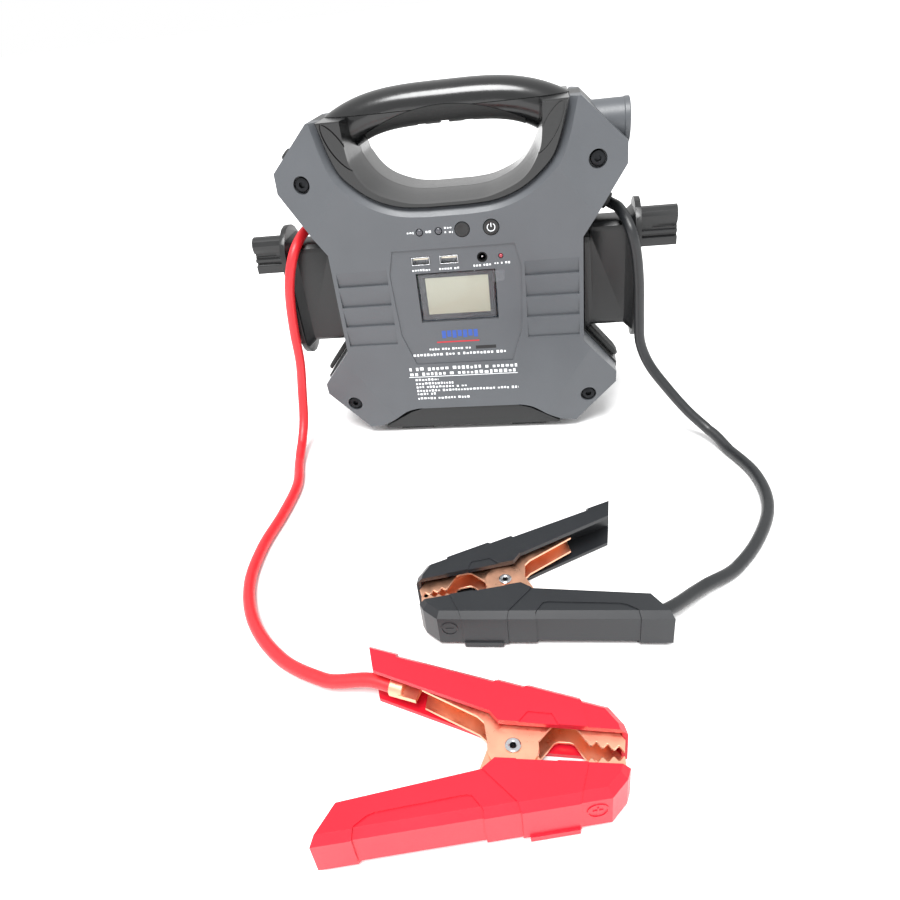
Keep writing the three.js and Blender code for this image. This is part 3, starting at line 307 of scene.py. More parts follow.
def turned(name, profile, at=(0, 0, 0), axis="Z", along=None, n=None):
    """A turned piece: profile is (radius, height) from one end of the axis to the other, or a closed loop."""
    bm = bmesh.new()
    verts = [bm.verts.new((r, 0, h)) for r, h in profile]
    edges = [bm.edges.new(pair) for pair in zip(verts, verts[1:])]
    if profile[0][0] > 0 and profile[-1][0] > 0:
        edges.append(bm.edges.new((verts[-1], verts[0])))
    n = n or sizes().facets
    bmesh.ops.spin(
        bm, geom=verts + edges, cent=(0, 0, 0), axis=(0, 0, 1), angle=2 * math.pi, steps=n, use_merge=True
    )
    bmesh.ops.remove_doubles(bm, verts=bm.verts, dist=1e-4)
    turn = Vector((0, 0, 1)).rotation_difference(Vector(along)).to_matrix().to_4x4() if along else AXES[axis]
    bmesh.ops.transform(bm, matrix=Matrix.Translation(at) @ turn, verts=bm.verts)
    return from_bmesh(name, bm)


def rod(name, r, at, long, axis="Y", n=None):
    return turned(name, [(0, 0), (r, 0), (r, long), (0, long)], at, axis, n=n)


def baked(obj):
    """The object's mesh with its modifiers applied."""
    mesh = bpy.data.meshes.new_from_object(obj.evaluated_get(bpy.context.evaluated_depsgraph_get()))
    obj.modifiers.clear()
    obj.data = mesh
    return obj


def carve(obj, *tools, how="DIFFERENCE"):
    """Cuts the tools from obj, or joins them to it, and removes them."""
    for tool in tools:
        step = obj.modifiers.new("carve", "BOOLEAN")
        step.operation = how
        step.solver = "EXACT"
        step.object = tool
        baked(obj)
        bpy.data.objects.remove(tool)
    return obj


def unite(obj, *tools):
    return carve(obj, *tools, how="UNION")


def common(obj, tool):
    return carve(obj, tool, how="INTERSECT")


def duplicate(obj, name, matrix=None):
    twin = link(name, obj.data.copy())
    if matrix is not None:
        twin.data.transform(matrix)
        if matrix.determinant() < 0:
            twin.data.flip_normals()
    return twin


def sliced(obj, at, away):
    """Takes off everything past a plane on the side that away points to, and closes the cut."""
    bm = bmesh.new()
    bm.from_mesh(obj.data)
    cut = bmesh.ops.bisect_plane(
        bm, geom=bm.verts[:] + bm.edges[:] + bm.faces[:], plane_co=at, plane_no=away, clear_outer=True
    )
    rim = [e for e in cut["geom_cut"] if isinstance(e, bmesh.types.BMEdge)]
    bmesh.ops.contextual_create(bm, geom=rim)
    bmesh.ops.recalc_face_normals(bm, faces=bm.faces)
    bm.to_mesh(obj.data)
    bm.free()
    return obj


def bevelled(obj, wide, pick, segments=2):
    """Bevels the edges that pick(edge) chooses."""
    bm = bmesh.new()
    bm.from_mesh(obj.data)
    edges = [e for e in bm.edges if pick(e)]
    bmesh.ops.bevel(
        bm, geom=edges, offset=wide, segments=segments, profile=0.5, affect="EDGES", material=-1, clamp_overlap=True
    )
    bm.to_mesh(obj.data)
    bm.free()
    return obj


def finish(obj, body, material, slot, stands_for=(), edge=None, segments=3, crisp=9, plain=False):
    """Cleans a piece, scales it to metres, rounds its edges and ties it to the frame."""
    bm = bmesh.new()
    bm.from_mesh(obj.data)
    bmesh.ops.remove_doubles(bm, verts=bm.verts, dist=1e-3)
    bmesh.ops.dissolve_degenerate(bm, edges=bm.edges, dist=1e-3)
    if not plain:
        bmesh.ops.dissolve_limit(bm, angle_limit=rad(0.4), verts=bm.verts, edges=bm.edges)
    bmesh.ops.recalc_face_normals(bm, faces=bm.faces)
    bmesh.ops.scale(bm, vec=(MM, MM, MM), verts=bm.verts)
    bm.to_mesh(obj.data)
    bm.free()
    obj.data.shade_smooth()
    obj.data.set_sharp_from_angle(angle=rad(crisp))
    wide = sizes().edge_round if edge is None else edge * MM
    if wide > 0:
        rounding = obj.modifiers.new("round", "BEVEL")
        rounding.width = wide
        rounding.segments = segments
        rounding.limit_method = "ANGLE"
        rounding.angle_limit = rad(28)
        rounding.use_clamp_overlap = True
        rounding.harden_normals = True
        rounding.miter_outer = "MITER_ARC"
    return tied(obj, body, material, slot, stands_for)


def tied(obj, body, material, slot, stands_for=()):
    obj.data.materials.clear()
    obj.data.materials.append(material)
    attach(obj, body)
    nodes = [stands_for] if isinstance(stands_for, str) else list(stands_for)
    if nodes:
        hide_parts(*nodes)
    return obj


# ---- materials ----
def add(tree, kind, inputs=None, **settings):
    """One shader node with its settings; an input is a number, a colour or another node's output."""
    made = tree.nodes.new("ShaderNode" + kind)
    for key, value in settings.items():
        setattr(made, key, value)
    for key, value in (inputs or {}).items():
        if isinstance(value, bpy.types.NodeSocket):
            tree.links.new(value, made.inputs[key])
        else:
            made.inputs[key].default_value = value
    return made


def fresh(name):
    """A new material with one Principled shader, which is returned with its tree."""
    made = bpy.data.materials.new(name)
    made.use_nodes = True
    return made, made.node_tree, made.node_tree.nodes["Principled BSDF"]


def place(tree):
    return add(tree, "TexCoord").outputs["Object"]


def per(mm):
    """Noise scale for features of that many millimetres."""
    return 1 / (mm * MM)


def noise(tree, where, mm, detail=2.0, rough=0.5):
    return add(tree, "TexNoise", {"Vector": where, "Scale": per(mm), "Detail": detail, "Roughness": rough}).outputs["Fac"]


def between(tree, value, low, high, from_low=0.3, from_high=0.7):
    inputs = {"Value": value, "From Min": from_low, "From Max": from_high, "To Min": low, "To Max": high}
    return add(tree, "MapRange", inputs).outputs["Result"]


def shade(rgb, factor):
    return [min(c * factor, 1) for c in rgb] + [1]


def moulded(name, rgb, rough, spread=0.05, grain=0.9, depth=0.04, patch=34, ior=1.53, coat=0.0):
    """A moulded plastic: a fine texture from the tool, and slow changes of gloss and tone over its surface."""
    made, tree, shader = fresh(name)
    where = place(tree)
    slow = noise(tree, where, patch, 3)
    tone = add(tree, "Mix", {"Factor": between(tree, slow, 0, 1), 6: shade(rgb, 1 - spread), 7: shade(rgb, 1 + spread)}, data_type="RGBA")
    tree.links.new(tone.outputs[2], shader.inputs["Base Color"])
    fine = noise(tree, where, grain, 3)
    both = add(tree, "Math", {0: slow, 1: fine}, operation="ADD").outputs[0]
    tree.links.new(between(tree, both, rough * 0.88, rough * 1.14, 0.7, 1.3), shader.inputs["Roughness"])
    bump = add(tree, "Bump", {"Height": fine, "Strength": 0.5, "Distance": depth * MM})
    tree.links.new(bump.outputs["Normal"], shader.inputs["Normal"])
    shader.inputs["IOR"].default_value = ior
    shader.inputs["Coat Weight"].default_value = coat
    shader.inputs["Coat Roughness"].default_value = 0.12
    return made


# ABS, injection moulded against a spark-eroded tool: an even satin grain with soft, broad highlights.
def shell_abs():
    return moulded("grey_abs", colours().shell, 0.4, grain=1.1, depth=0.05)


# The frame and brackets are glass-filled nylon, moulded and satin, a little smoother on the flats.
def frame_nylon():
    return moulded("black_nylon", colours().frame_black, 0.38, spread=0.12, grain=1.3, depth=0.03)


# The handle is polished ABS: a nearly smooth black gloss with a faint orange peel.
def handle_gloss():
    return moulded("gloss_abs", colours().handle, 0.22, spread=0.08, grain=3.5, depth=0.05, coat=0.15)


# Clamp covers are polypropylene from a fine-blasted tool, with a waxy sheen.
def clamp_red():
    return moulded("red_polypropylene", colours().red, 0.36, spread=0.05, grain=0.9, depth=0.03, ior=1.49)


def clamp_black():
    return moulded("black_polypropylene", linear("212326"), 0.36, spread=0.08, grain=0.9, depth=0.03, ior=1.49)


# Overmoulded thermoplastic rubber: a matt stipple that holds no sharp reflection.
def soft_rubber():
    return moulded("soft_rubber", linear("1B1C1C"), 0.68, spread=0.12, grain=1.0, depth=0.12, ior=1.52)


# Clear and tinted lamp bodies are frosted epoxy.
def epoxy(name, code, rough=0.3):
    return moulded(name, linear(code), rough, spread=0.1, grain=0.8, depth=0.02, ior=1.55, coat=0.5)


def jacket(name, rgb):
    """Extruded soft PVC: fine lines along the run, slight waviness, and a satin skin."""
    made, tree, shader = fresh(name)
    where = place(tree)
    wave = noise(tree, where, 16, 2)
    tone = add(tree, "Mix", {"Factor": between(tree, wave, 0, 1), 6: shade(rgb, 0.94), 7: shade(rgb, 1.05)}, data_type="RGBA")
    tree.links.new(tone.outputs[2], shader.inputs["Base Color"])
    skin = noise(tree, where, 2.2, 3)
    tree.links.new(between(tree, skin, 0.34, 0.46), shader.inputs["Roughness"])
    height = add(tree, "Math", {0: wave, 1: skin}, operation="ADD").outputs[0]
    bump = add(tree, "Bump", {"Height": height, "Strength": 0.4, "Distance": 0.12 * MM})
    tree.links.new(bump.outputs["Normal"], shader.inputs["Normal"])
    shader.inputs["IOR"].default_value = 1.53
    return made


def metal(name, rgb, rough, stain=0.08, scratch=1.2, depth=0.03):
    """A metal skin with slow stains and fine rubbed marks that vary its gloss."""
    made, tree, shader = fresh(name)
    where = place(tree)
    stains = noise(tree, where, 9, 4, 0.6)
    tone = add(tree, "Mix", {"Factor": between(tree, stains, 0, 1), 6: shade(rgb, 1 - stain), 7: shade(rgb, 1 + stain)}, data_type="RGBA")
    tree.links.new(tone.outputs[2], shader.inputs["Base Color"])
    marks = noise(tree, add(tree, "Mapping", {"Vector": where, "Scale": (1, 6, 1)}).outputs["Vector"], scratch, 4)
    both = add(tree, "Math", {0: stains, 1: marks}, operation="ADD").outputs[0]
    tree.links.new(between(tree, both, rough * 0.7, rough * 1.5, 0.7, 1.3), shader.inputs["Roughness"])
    bump = add(tree, "Bump", {"Height": marks, "Strength": 0.3, "Distance": depth * MM})
    tree.links.new(bump.outputs["Normal"], shader.inputs["Normal"])
    shader.inputs["Metallic"].default_value = 1
    return made


# Pressed steel sheet, bright copper plated: warm, with cloudy tarnish and press marks.
def copper_plate():
    return metal("copper_plated_steel", colours().copper, 0.36, stain=0.03, depth=0.008)


# Nickel-plated steel: rivets, springs and USB shells.
def nickel():
    return metal("nickel_plated_steel", linear("C9CBCE"), 0.2, stain=0.05)


# Black-oxide screws: dark, slightly oily.
def black_oxide():
    return metal("black_oxide_steel", linear("2B2C2E"), 0.36, stain=0.15)


# Vacuum-metallised reflector bowl.
def mirror_coat():
    return metal("aluminised_reflector", linear("E6E8EA"), 0.06, stain=0.02, depth=0.005)


def window(name, code, alpha, rough=0.04):
    """A clear moulded pane, thin enough that it only tints and reflects."""
    made, tree, shader = fresh(name)
    smear = noise(tree, place(tree), 14, 3)
    tree.links.new(between(tree, smear, rough * 0.6, rough * 2.2), shader.inputs["Roughness"])
    shader.inputs["Base Color"].default_value = [*linear(code), 1]
    shader.inputs["Alpha"].default_value = alpha
    shader.inputs["IOR"].default_value = 1.49
    shader.inputs["Coat Weight"].default_value = 0.4
    return made


# The liquid-crystal panel: a pale grey-green reflector, with painted shade that darkens it a little towards its foot
# and leaves its top lighter.
def lcd_glass():
    made, tree, shader = fresh("lcd_panel")
    where = add(tree, "SeparateXYZ", {"Vector": place(tree)}).outputs["Z"]
    # painted shade: a blend up the panel from a darker colour at the foot to a lighter colour at the top
    painted_shade_blend = between(tree, where, 0, 1, 101 * MM, 130 * MM)
    tone = add(tree, "Mix", {"Factor": painted_shade_blend, 6: [*linear("A9A690"), 1], 7: [*linear("C2C2AE"), 1]}, data_type="RGBA")
    tree.links.new(tone.outputs[2], shader.inputs["Base Color"])
    shader.inputs["Roughness"].default_value = 0.25
    return made


# Solder mask over fibreglass.
def board_green():
    return moulded("solder_mask", linear("1E5A35"), 0.35, spread=0.15, grain=2.0, depth=0.05)


# Pad-printed ink on the shell.
def ink(name, rgb):
    return moulded(name, rgb, 0.5, spread=0.05, grain=0.6, depth=0.01)


MADE = {}


def stuff(maker, *args):
    """The material that a maker gives, made once."""
    key = (maker.__name__, *[str(a) for a in args])
    if key not in MADE:
        MADE[key] = maker(*args)
    return MADE[key]


# ---- stage, camera and light ----
CAMERA_AT = (66.8, -514.9, 298.6)
CAMERA_YAW, CAMERA_PITCH, CAMERA_ROLL = -10.19, 32.76, -7.34
CAMERA_LENS, SENSOR = 28.01, 36


def camera_matrix():
    yaw, pitch, roll = rad(CAMERA_YAW), rad(CAMERA_PITCH), rad(CAMERA_ROLL)
    ahead = Vector((math.sin(yaw) * math.cos(pitch), math.cos(yaw) * math.cos(pitch), -math.sin(pitch)))
    level = Vector((math.cos(yaw), -math.sin(yaw), 0))
    over = level.cross(ahead)
    right = math.cos(roll) * level + math.sin(roll) * over
    up = math.cos(roll) * over - math.sin(roll) * level
    turn = Matrix((right, up, -ahead)).transposed()
    return Matrix.Translation(Vector(CAMERA_AT) * MM) @ turn.to_4x4()


def key_light(name, towards, strength, spread):
    """A distant soft light that shines along a direction."""
    data = bpy.data.lights.new(name, "SUN")
    data.energy = strength
    data.angle = rad(spread)
    lamp = bpy.data.objects.new(name, data)
    bpy.context.scene.collection.objects.link(lamp)
    lamp.rotation_euler = Vector(towards).to_track_quat("-Z", "Y").to_euler()
    return lamp


class PACK_OT_stage(bpy.types.Operator):
    """Adds the pale floor, the soft lights and the camera"""

    bl_idname = "pack.stage"
    bl_label = "Stage"

    def execute(self, context):
        bm = bmesh.new()
        bmesh.ops.create_grid(bm, x_segments=1, y_segments=1, size=60)
        mesh = bpy.data.meshes.new("floor")
        bm.to_mesh(mesh)
        bm.free()
        floor = link("floor", mesh)
        made, tree, shader = fresh("white_paper")
        shader.inputs["Base Color"].default_value = [*linear("FAFAFA"), 1]
        shader.inputs["Roughness"].default_value = 0.7
        floor.data.materials.append(made)
        world = bpy.data.worlds.new("studio")
        world.use_nodes = True
        world.node_tree.nodes["Background"].inputs["Color"].default_value = (1, 1, 1, 1)
        world.node_tree.nodes["Background"].inputs["Strength"].default_value = 1.0
        context.scene.world = world
        context.scene.view_settings.view_transform = "Standard"
        key_light("key", (0.05, 0.4, -0.92), 4.2, 30)
        data = bpy.data.cameras.new("camera")
        data.sensor_width = SENSOR
        data.lens = CAMERA_LENS
        camera = bpy.data.objects.new("camera", data)
        context.scene.collection.objects.link(camera)
        camera.matrix_world = camera_matrix()
        context.scene.camera = camera
        return {"FINISHED"}


# ---- booster cables and glands ----
SHOULDER = Vector((CORNER_X - WAIST_X, 0, SHOULDER_Z - WAIST_HIGH_Z)).normalized()
SHOULDER_OUT = Vector((SHOULDER.z, 0, -SHOULDER.x))
GLAND_AT = Vector((WAIST_X, 0, WAIST_HIGH_Z)) + SHOULDER * 22 + SHOULDER_OUT * FRAME_LIP
FLOOR_Z = CABLE_R + 0.1
IN_FRONT = -(FLANGE_R + CABLE_R + 1.2)
TAIL_RUN = Vector((TAIL_U + 42, NOSE_V - TAIL_V)).normalized()
LUG_U, LUG_V = 14 - TAIL_U, TAIL_V - 17


def exit_point(side, out):
    p = GLAND_AT + SHOULDER_OUT * out
    return (p.x * side, 0, p.z)


def clamp_matrix(name):
    x, y, turn = CLAMPS[name]
    return Matrix.Translation((x, y, 0)) @ Matrix.Rotation(rad(turn), 4, "Z")


def lug_point(name, back):
    flat = Vector((LUG_U, LUG_V)) - TAIL_RUN * back
    return tuple(clamp_matrix(name) @ Vector((flat.x, flat.y, CLAMP_TALL / 2)))


def red_route():
    x, y, top = -FLANGE_X, IN_FRONT, WAIST_HIGH_Z
    return [
        exit_point(-1, 0),
        exit_point(-1, 8),
        (x + 11.5, -7.5, top + 9.5),
        (x + 7.4, -21, top + 1),
        (x + 2.1, y - 0.5, top - 15),
        (x - 2.1, y - 0.5, 119),
        (x - 4.8, y - 0.5, 94),
        (x - 5.8, y - 1.5, 68),
        (x - 8.8, y - 5, 43),
        (x - 9.5, y - 15, 22),
        (-135.5, -57, 9),
        (-133.5, -74, FLOOR_Z),
        (-126, -105, FLOOR_Z),
        (-126, -140, FLOOR_Z),
        (-129, -176, FLOOR_Z),
        (-125.5, -211, FLOOR_Z),
        (-111, -243, FLOOR_Z),
        (-86, -269, FLOOR_Z),
        (-56, -285, FLOOR_Z + 3),
        lug_point("red_clamp", 12),
        lug_point("red_clamp", -3),
    ]


def black_route():
    x, y, top = FLANGE_X, IN_FRONT, WAIST_HIGH_Z
    return [
        exit_point(1, 0),
        exit_point(1, 8),
        (x - 10.5, -8.5, top + 11),
        (x - 4, -24.5, top + 0.5),
        (x + 0.2, y - 0.5, top - 16),
        (x + 2.7, y - 0.5, 114),
        (x + 3.8, y - 0.5, 88),
        (x + 5.2, y - 1.5, 70),
        (x + 12, y - 4, 53),
        (x + 25, y - 11, 36),
        (x + 40, y - 20, 20),
        (180, -56, 9),
        (191, -76, FLOOR_Z),
        (201.5, -106, FLOOR_Z),
        (201, -139, FLOOR_Z),
        (188, -171, FLOOR_Z),
        (168, -199, FLOOR_Z),
        (145, -218, FLOOR_Z + 3),
        lug_point("black_clamp", 12),
        lug_point("black_clamp", -3),
    ]


def cable(name, route, material, slot):
    data = bpy.data.curves.new(name, "CURVE")
    data.dimensions = "3D"
    data.bevel_depth = sizes().cable_wide / 2
    data.bevel_resolution = 6
    data.resolution_u = 10
    data.use_fill_caps = True
    run = data.splines.new("BEZIER")
    run.bezier_points.add(len(route) - 1)
    points = [Vector(at) for at in route]
    for i, point in enumerate(run.bezier_points):
        before, here, after = points[max(i - 1, 0)], points[i], points[min(i + 1, len(points) - 1)]
        heading = (after - before).normalized()
        for side, reach in ((-1, (here - before).length / 3), (1, (after - here).length / 3)):
            handle = here + heading * side * reach
            handle.z = max(handle.z, min(here.z, FLOOR_Z + 4))
            name_of = "handle_left" if side < 0 else "handle_right"
            setattr(point, name_of + "_type", "FREE")
            setattr(point, name_of, handle * MM)
        point.co = here * MM
    obj = link(name, data)
    return tied(obj, "root", material, slot, name.replace("_booster", ""))


class PACK_OT_cables(bpy.types.Operator):
    """Lays the two booster cables along their routes"""

    bl_idname = "pack.cables"
    bl_label = "Booster Cables"

    def execute(self, context):
        red = stuff(jacket, "red_pvc", tuple(colours().red_jacket))
        black = stuff(jacket, "black_pvc", tuple(linear("1B1D1F")))
        cable("red_booster_cable", red_route(), red, "red_cable_jacket")
        cable("black_booster_cable", black_route(), black, "black_cable_jacket")
        return {"FINISHED"}


# ---- copies of the frame's own nodes ----
def from_node(name, node):
    """A merged copy of a node, in millimetres, ready to be rounded."""
    bm = bmesh.new()
    bm.from_mesh(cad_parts[node].data)
    bmesh.ops.scale(bm, vec=(1 / MM,) * 3, verts=bm.verts)
    bmesh.ops.remove_doubles(bm, verts=bm.verts, dist=1e-3)
    return from_bmesh(name, bm)


def keep_node(node, material):
    """A node that is shown as it is, with a better material."""
    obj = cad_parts[node]
    for old in obj.material_slots:
        old.material = material


class PACK_OT_insides(bpy.types.Operator):
    """Gives the battery pack and the control board their finishes"""

    bl_idname = "pack.insides"
    bl_label = "Battery and Board"

    def execute(self, context):
        keep_node("battery_pack", moulded("shrink_wrap", linear("2F4F6F"), 0.45, grain=2.5))
        keep_node("control_board", stuff(board_green))
        return {"FINISHED"}


# ---- shells ----
FACETS = ((74, 201.2, 33.4), (91, 63, -33.2))


def facet_y(x, z):
    """How far back the front face lies at a point of the four sloping arms."""
    fall = math.tan(rad(ARM_SLOPE))
    drops = [fall * (math.cos(rad(t)) * (abs(x) - fx) + math.sin(rad(t)) * (z - fz)) for fx, fz, t in FACETS]
    return FRONT_Y + max(0, *drops)


def faceted(obj, back):
    slope = rad(ARM_SLOPE)
    for side in (1, -1):
        for x, z, turn in FACETS:
            away = (side * math.cos(rad(turn)) * math.sin(slope), -math.cos(slope), math.sin(rad(turn)) * math.sin(slope))
            sliced(obj, (x * side, FRONT_Y + back, z), away)
    return obj


def on_bowl(edge):
    """Front edges of the handle bowl."""
    middle = (edge.verts[0].co + edge.verts[1].co) / 2
    run = edge.verts[0].co - edge.verts[1].co
    flat = abs(run.y) < 0.75 * run.length
    inside = abs(middle.x) < BOWL_X + 0.1 and middle.z > BOWL_Z - 0.1 and middle.z < TOP_Z - 0.05
    side = {round(f.normal.y, 1) for f in edge.link_faces}
    return flat and inside and middle.y < -BAND_Y - 2 and len(side) == 2 and min(side) < -0.9


def front_blank(name):
    blank = faceted(slab(name, both_sides(body_half()), FRONT_Y, -BAND_Y - GAP), 0)
    return bevelled(blank, sizes().bowl_bevel / MM, on_bowl, 1)


def pocket_floor(x, z):
    return facet_y(x, z) + 5


def x_rod(name, r, low, high):
    return rod(name, r, (low, 0, LIGHT_Z), high - low, "X")


def light_bore():
    return x_rod("bore", LIGHT_R + GAP, CORNER_X - 34, CORNER_X + 12)


PANEL = ((37, 63), (45.5, 88), (47.6, 134.6), (43.4, 152))
GRIP_PITCH, GRIP_INNER, GRIP_OUTER = 15.6, 49.5, WAIST_X - 3


def louvre(side, row):
    """One saw-tooth course of the side grips, from a ledge up to the next land."""
    z, deep = 81 + row * GRIP_PITCH, 2 if row else 1.5
    tall = GRIP_PITCH - 1.4 if row < 3 else 11
    ring = [(FRONT_Y - 1, z), (FRONT_Y + deep, z), (FRONT_Y, z + tall), (FRONT_Y - 1, z + tall)]
    low, high = sorted((side * GRIP_INNER, side * GRIP_OUTER))
    return slab("louvre", ring, low, high, "X")


def control_holes():
    low, deep = FRONT_Y - 2, 8

    def hole(r, x, z):
        return rod("hole", r + GAP, (x, low, z), deep)

    wide, tall = USB_WIDE / 2 + GAP, USB_TALL / 2 + GAP
    ports = [block("port", x - wide, x + wide, low, low + deep, PORT_Z - tall, PORT_Z + tall) for x in USB_X]
    return [
        hole(LED_R, LED_12_X, ROW_Z),
        hole(LED_R, LED_24_X, ROW_Z),
        hole(OVERRIDE_R, OVERRIDE_X, ROW_Z),
        hole(POWER_R, POWER_X, ROW_Z),
        hole(JACK_R, JACK_X, PORT_Z),
        hole(SMALL_LED_R, REVERSE_X, PORT_Z),
        *ports,
        block("window", -LCD_X - GAP, LCD_X + GAP, low, low + deep, LCD_LOW_Z - GAP, LCD_HIGH_Z + GAP),
    ]


class PACK_OT_shells(bpy.types.Operator):
    """Makes the front shell with its sloping arms, grips and holes, and the rear shell"""

    bl_idname = "pack.shells"
    bl_label = "Shells"

    def execute(self, context):
        shell = front_blank("front_cover")
        hollow = faceted(slab("hollow", inner(both_sides(body_half()), WALL), FRONT_Y + WALL + 0.6, BAND_Y), 3.6)
        carve(shell, hollow)
        for x, z in SCREWS.values():
            floor = pocket_floor(x, z)
            boss = common(rod("boss", POCKET_R + 2.2, (x, FRONT_Y, z), floor + 2.5 - FRONT_Y), front_blank("blank"))
            unite(shell, boss)
            carve(shell, rod("pocket", POCKET_R, (x, FRONT_Y - 2, z), floor + 2 - FRONT_Y))
            carve(shell, rod("shank", SHANK_R + 0.5, (x, floor - 1, z), 1 - floor))
        for side in (1, -1):
            low, high = sorted((side * 46, side * (WAIST_X - 1)))
            unite(shell, block("backing", low, high, FRONT_Y + 3, FRONT_Y + 5.2, 78, 142))
            carve(shell, *[louvre(side, row) for row in range(4)])
        carve(shell, slab("panel", both_sides(PANEL), FRONT_Y - 1, PANEL_Y), *control_holes(), light_bore())
        grey = stuff(shell_abs)
        finish(shell, "root", grey, "grey_abs", "front_shell", edge=0.7)
        finish(from_node("rear_cover", "rear_shell"), "root", grey, "grey_abs", "rear_shell", edge=1.0, plain=True)
        return {"FINISHED"}


class PACK_OT_frame(bpy.types.Operator):
    """Makes the black mid frame, its pads and feet, the cable brackets and the glands"""

    bl_idname = "pack.frame"
    bl_label = "Frame, Brackets and Feet"

    def execute(self, context):
        nylon, rubber = stuff(frame_nylon), stuff(soft_rubber)
        finish(from_node("belt_frame", "mid_frame"), "root", nylon, "black_plastic", "mid_frame", edge=0.5, plain=True)
        for side in ("left", "right"):
            pad, arm = "flank_pad_" + side, "bracket_" + side
            finish(from_node("bumper_pad_" + side, pad), "root", rubber, "rubber", pad, edge=0.9, plain=True)
            finish(from_node("cable_bracket_" + side, arm), "root", nylon, "black_plastic", arm, edge=1.2, crisp=32, plain=True)
        for row in ("front", "rear"):
            for side in ("left", "right"):
                node = "foot_" + row + "_" + side
                finish(from_node("rubber_" + node, node), "root", rubber, "rubber", node, edge=0.8, plain=True)
        for name in ("red", "black"):
            node = "gland_" + name
            finish(from_node(name + "_strain_relief", node), "root", rubber, "rubber", node, edge=0.3, crisp=35, plain=True)
        return {"FINISHED"}


# ---- carry handle ----
RIM_Y = -FRONT_Y - 1.5
MOUTH_FLARE = 3.2
BOW_DROP, BOW_POWER = 16.5, 3.5


def bowl_ring(gap):
    ring = both_sides(bowl_half())
    return offset(ring, lambda i: 0 if i == len(ring) - 1 else gap)


def handle_opening(flare):
    f = flare / MOUTH_FLARE
    half = [
        (BOWL_X * 0.16, BOWL_Z + 6.6 - flare),
        (BOWL_X * 0.36, BOWL_Z + 8.6 - flare),
        (BOWL_X * 0.56 + 4 * f, BOWL_Z + 16 - flare * 0.7),
        (BOWL_X * 0.69 + 4 * f, BOWL_Z + 28 - flare * 0.3),
        (BOWL_X * 0.75 + 3 * f, BOWL_Z + 44),
        (BOWL_X * 0.76 + 3 * f, HANDLE_TOP_Z + 20),
    ]
    return both_sides(smooth_run(half, 6))


def handle_bar(name, shrink, steps=56, sides=48):
    """An elliptical bar along the handle's bow; shrink takes the same off all round."""
    reach, rings = BOWL_X - 4, []
    for k in range(steps + 1):
        f = 2 * k / steps - 1
        x, z = f * reach, HANDLE_TOP_Z - HANDLE_TALL / 2 - BOW_DROP * abs(f) ** BOW_POWER
        fall = BOW_DROP * BOW_POWER * abs(f) ** (BOW_POWER - 1)
        run = Vector((reach, 0, -fall * math.copysign(1, f))).normalized()
        tall = (HANDLE_TALL / 2 - shrink) * (1 + 0.16 * abs(f) ** 4)
        deep = HANDLE_DEEP / 2 - shrink
        rings.append([(x - run.z * b * tall, a * deep, z + run.x * b * tall) for a, b in circle(1, sides)])
    return loft(name, rings)


def grip_belt(grow):
    """The grip's zone: everything under an arched line across the bow."""
    reach, low = 54 + grow, HANDLE_TOP_Z - HANDLE_TALL * 2
    steps = [reach * i / 16 for i in range(-16, 17)]
    crown = [(x, 240.4 + grow - 14 * (x / reach) ** 2) for x in steps]
    return slab("belt", [(-reach, low), *crown, (reach, low)], -HANDLE_DEEP, HANDLE_DEEP)


def leaf(name, side, front, grow, low, high):
    """A pointed leaf where the bow meets the leg, drawn on the front and extruded."""
    half_long, half_wide = 16.5 + grow, 4.2 + grow
    upper = [(half_wide * math.cos(rad(t)) ** 1.3, half_long * math.sin(rad(t))) for t in range(-90, 91, 10)]
    ring = upper + [(-a, b) for a, b in reversed(upper[1:-1])]
    lean = rad(30) * side
    turned_ring = [
        (69.6 * side + a * math.cos(lean) + b * math.sin(lean), 222.8 - a * math.sin(lean) + b * math.cos(lean))
        for a, b in ring
    ]
    return slab(name, turned_ring, low * front, high * front)


def handle_half(name, front, flare):
    """One moulded half of the handle and its throat; front is -1, the rear half 1."""
    ring = bowl_ring(0.4)
    layers = [(ring, 0.15 * front), (ring, (RIM_Y - 1.2) * front), (offset(ring, 1), RIM_Y * front)]
    half = stack(name, layers)
    depths = ((0, -1), (flare * 0.25, RIM_Y * 0.4), (flare * 0.85, RIM_Y - 5), (flare, RIM_Y), (flare, RIM_Y + 2))
    carve(half, stack("throat", [(handle_opening(wide), y * front) for wide, y in depths]))
    bar = carve(handle_bar("bar", 0), carve(grip_belt(GAP), handle_bar("core", 3 + GAP)))
    room = slab("room", bowl_ring(0.6), -40, 40)
    unite(room, block("head", -BOWL_X - 3, BOWL_X + 3, -40, 40, TOP_Z + 0.4, HANDLE_TOP_Z + 30))
    common(bar, room)
    sliced(bar, (0, 0.15 * front, 0), (0, -front, 0))
    unite(half, bar)
    for side in (1, -1):
        carve(half, carve(leaf("groove", side, front, 1.1, RIM_Y - 1.4, RIM_Y + 4), leaf("pad", side, front, 0, 0, 60)))
    return half


class PACK_OT_handle(bpy.types.Operator):
    """Makes the glossy carry handle in two halves, with the ribbed grip under its bow"""

    bl_idname = "pack.handle"
    bl_label = "Carry Handle"

    def execute(self, context):
        gloss = stuff(handle_gloss)
        for front, name, flare in ((-1, "front", MOUTH_FLARE), (1, "rear", MOUTH_FLARE * 0.3)):
            half = handle_half("handle_half_" + name, front, flare)
            finish(half, "root", gloss, "gloss_black", "handle_" + name, edge=0.8, crisp=24)
        grip = common(handle_bar("finger_grip", 0), grip_belt(0))
        carve(grip, handle_bar("core", GRIP_THICK))
        for i in range(-2, 3):
            under, at = HANDLE_TOP_Z - HANDLE_TALL - 1.2 * abs(i) ** 1.5, i * 16
            carve(grip, block("rib", at - 3.2, at + 3.2, -30, 30, under - 6, under + 2.2))
        finish(grip, "root", stuff(soft_rubber), "rubber", "handle_grip", edge=0.5, crisp=24)
        return {"FINISHED"}


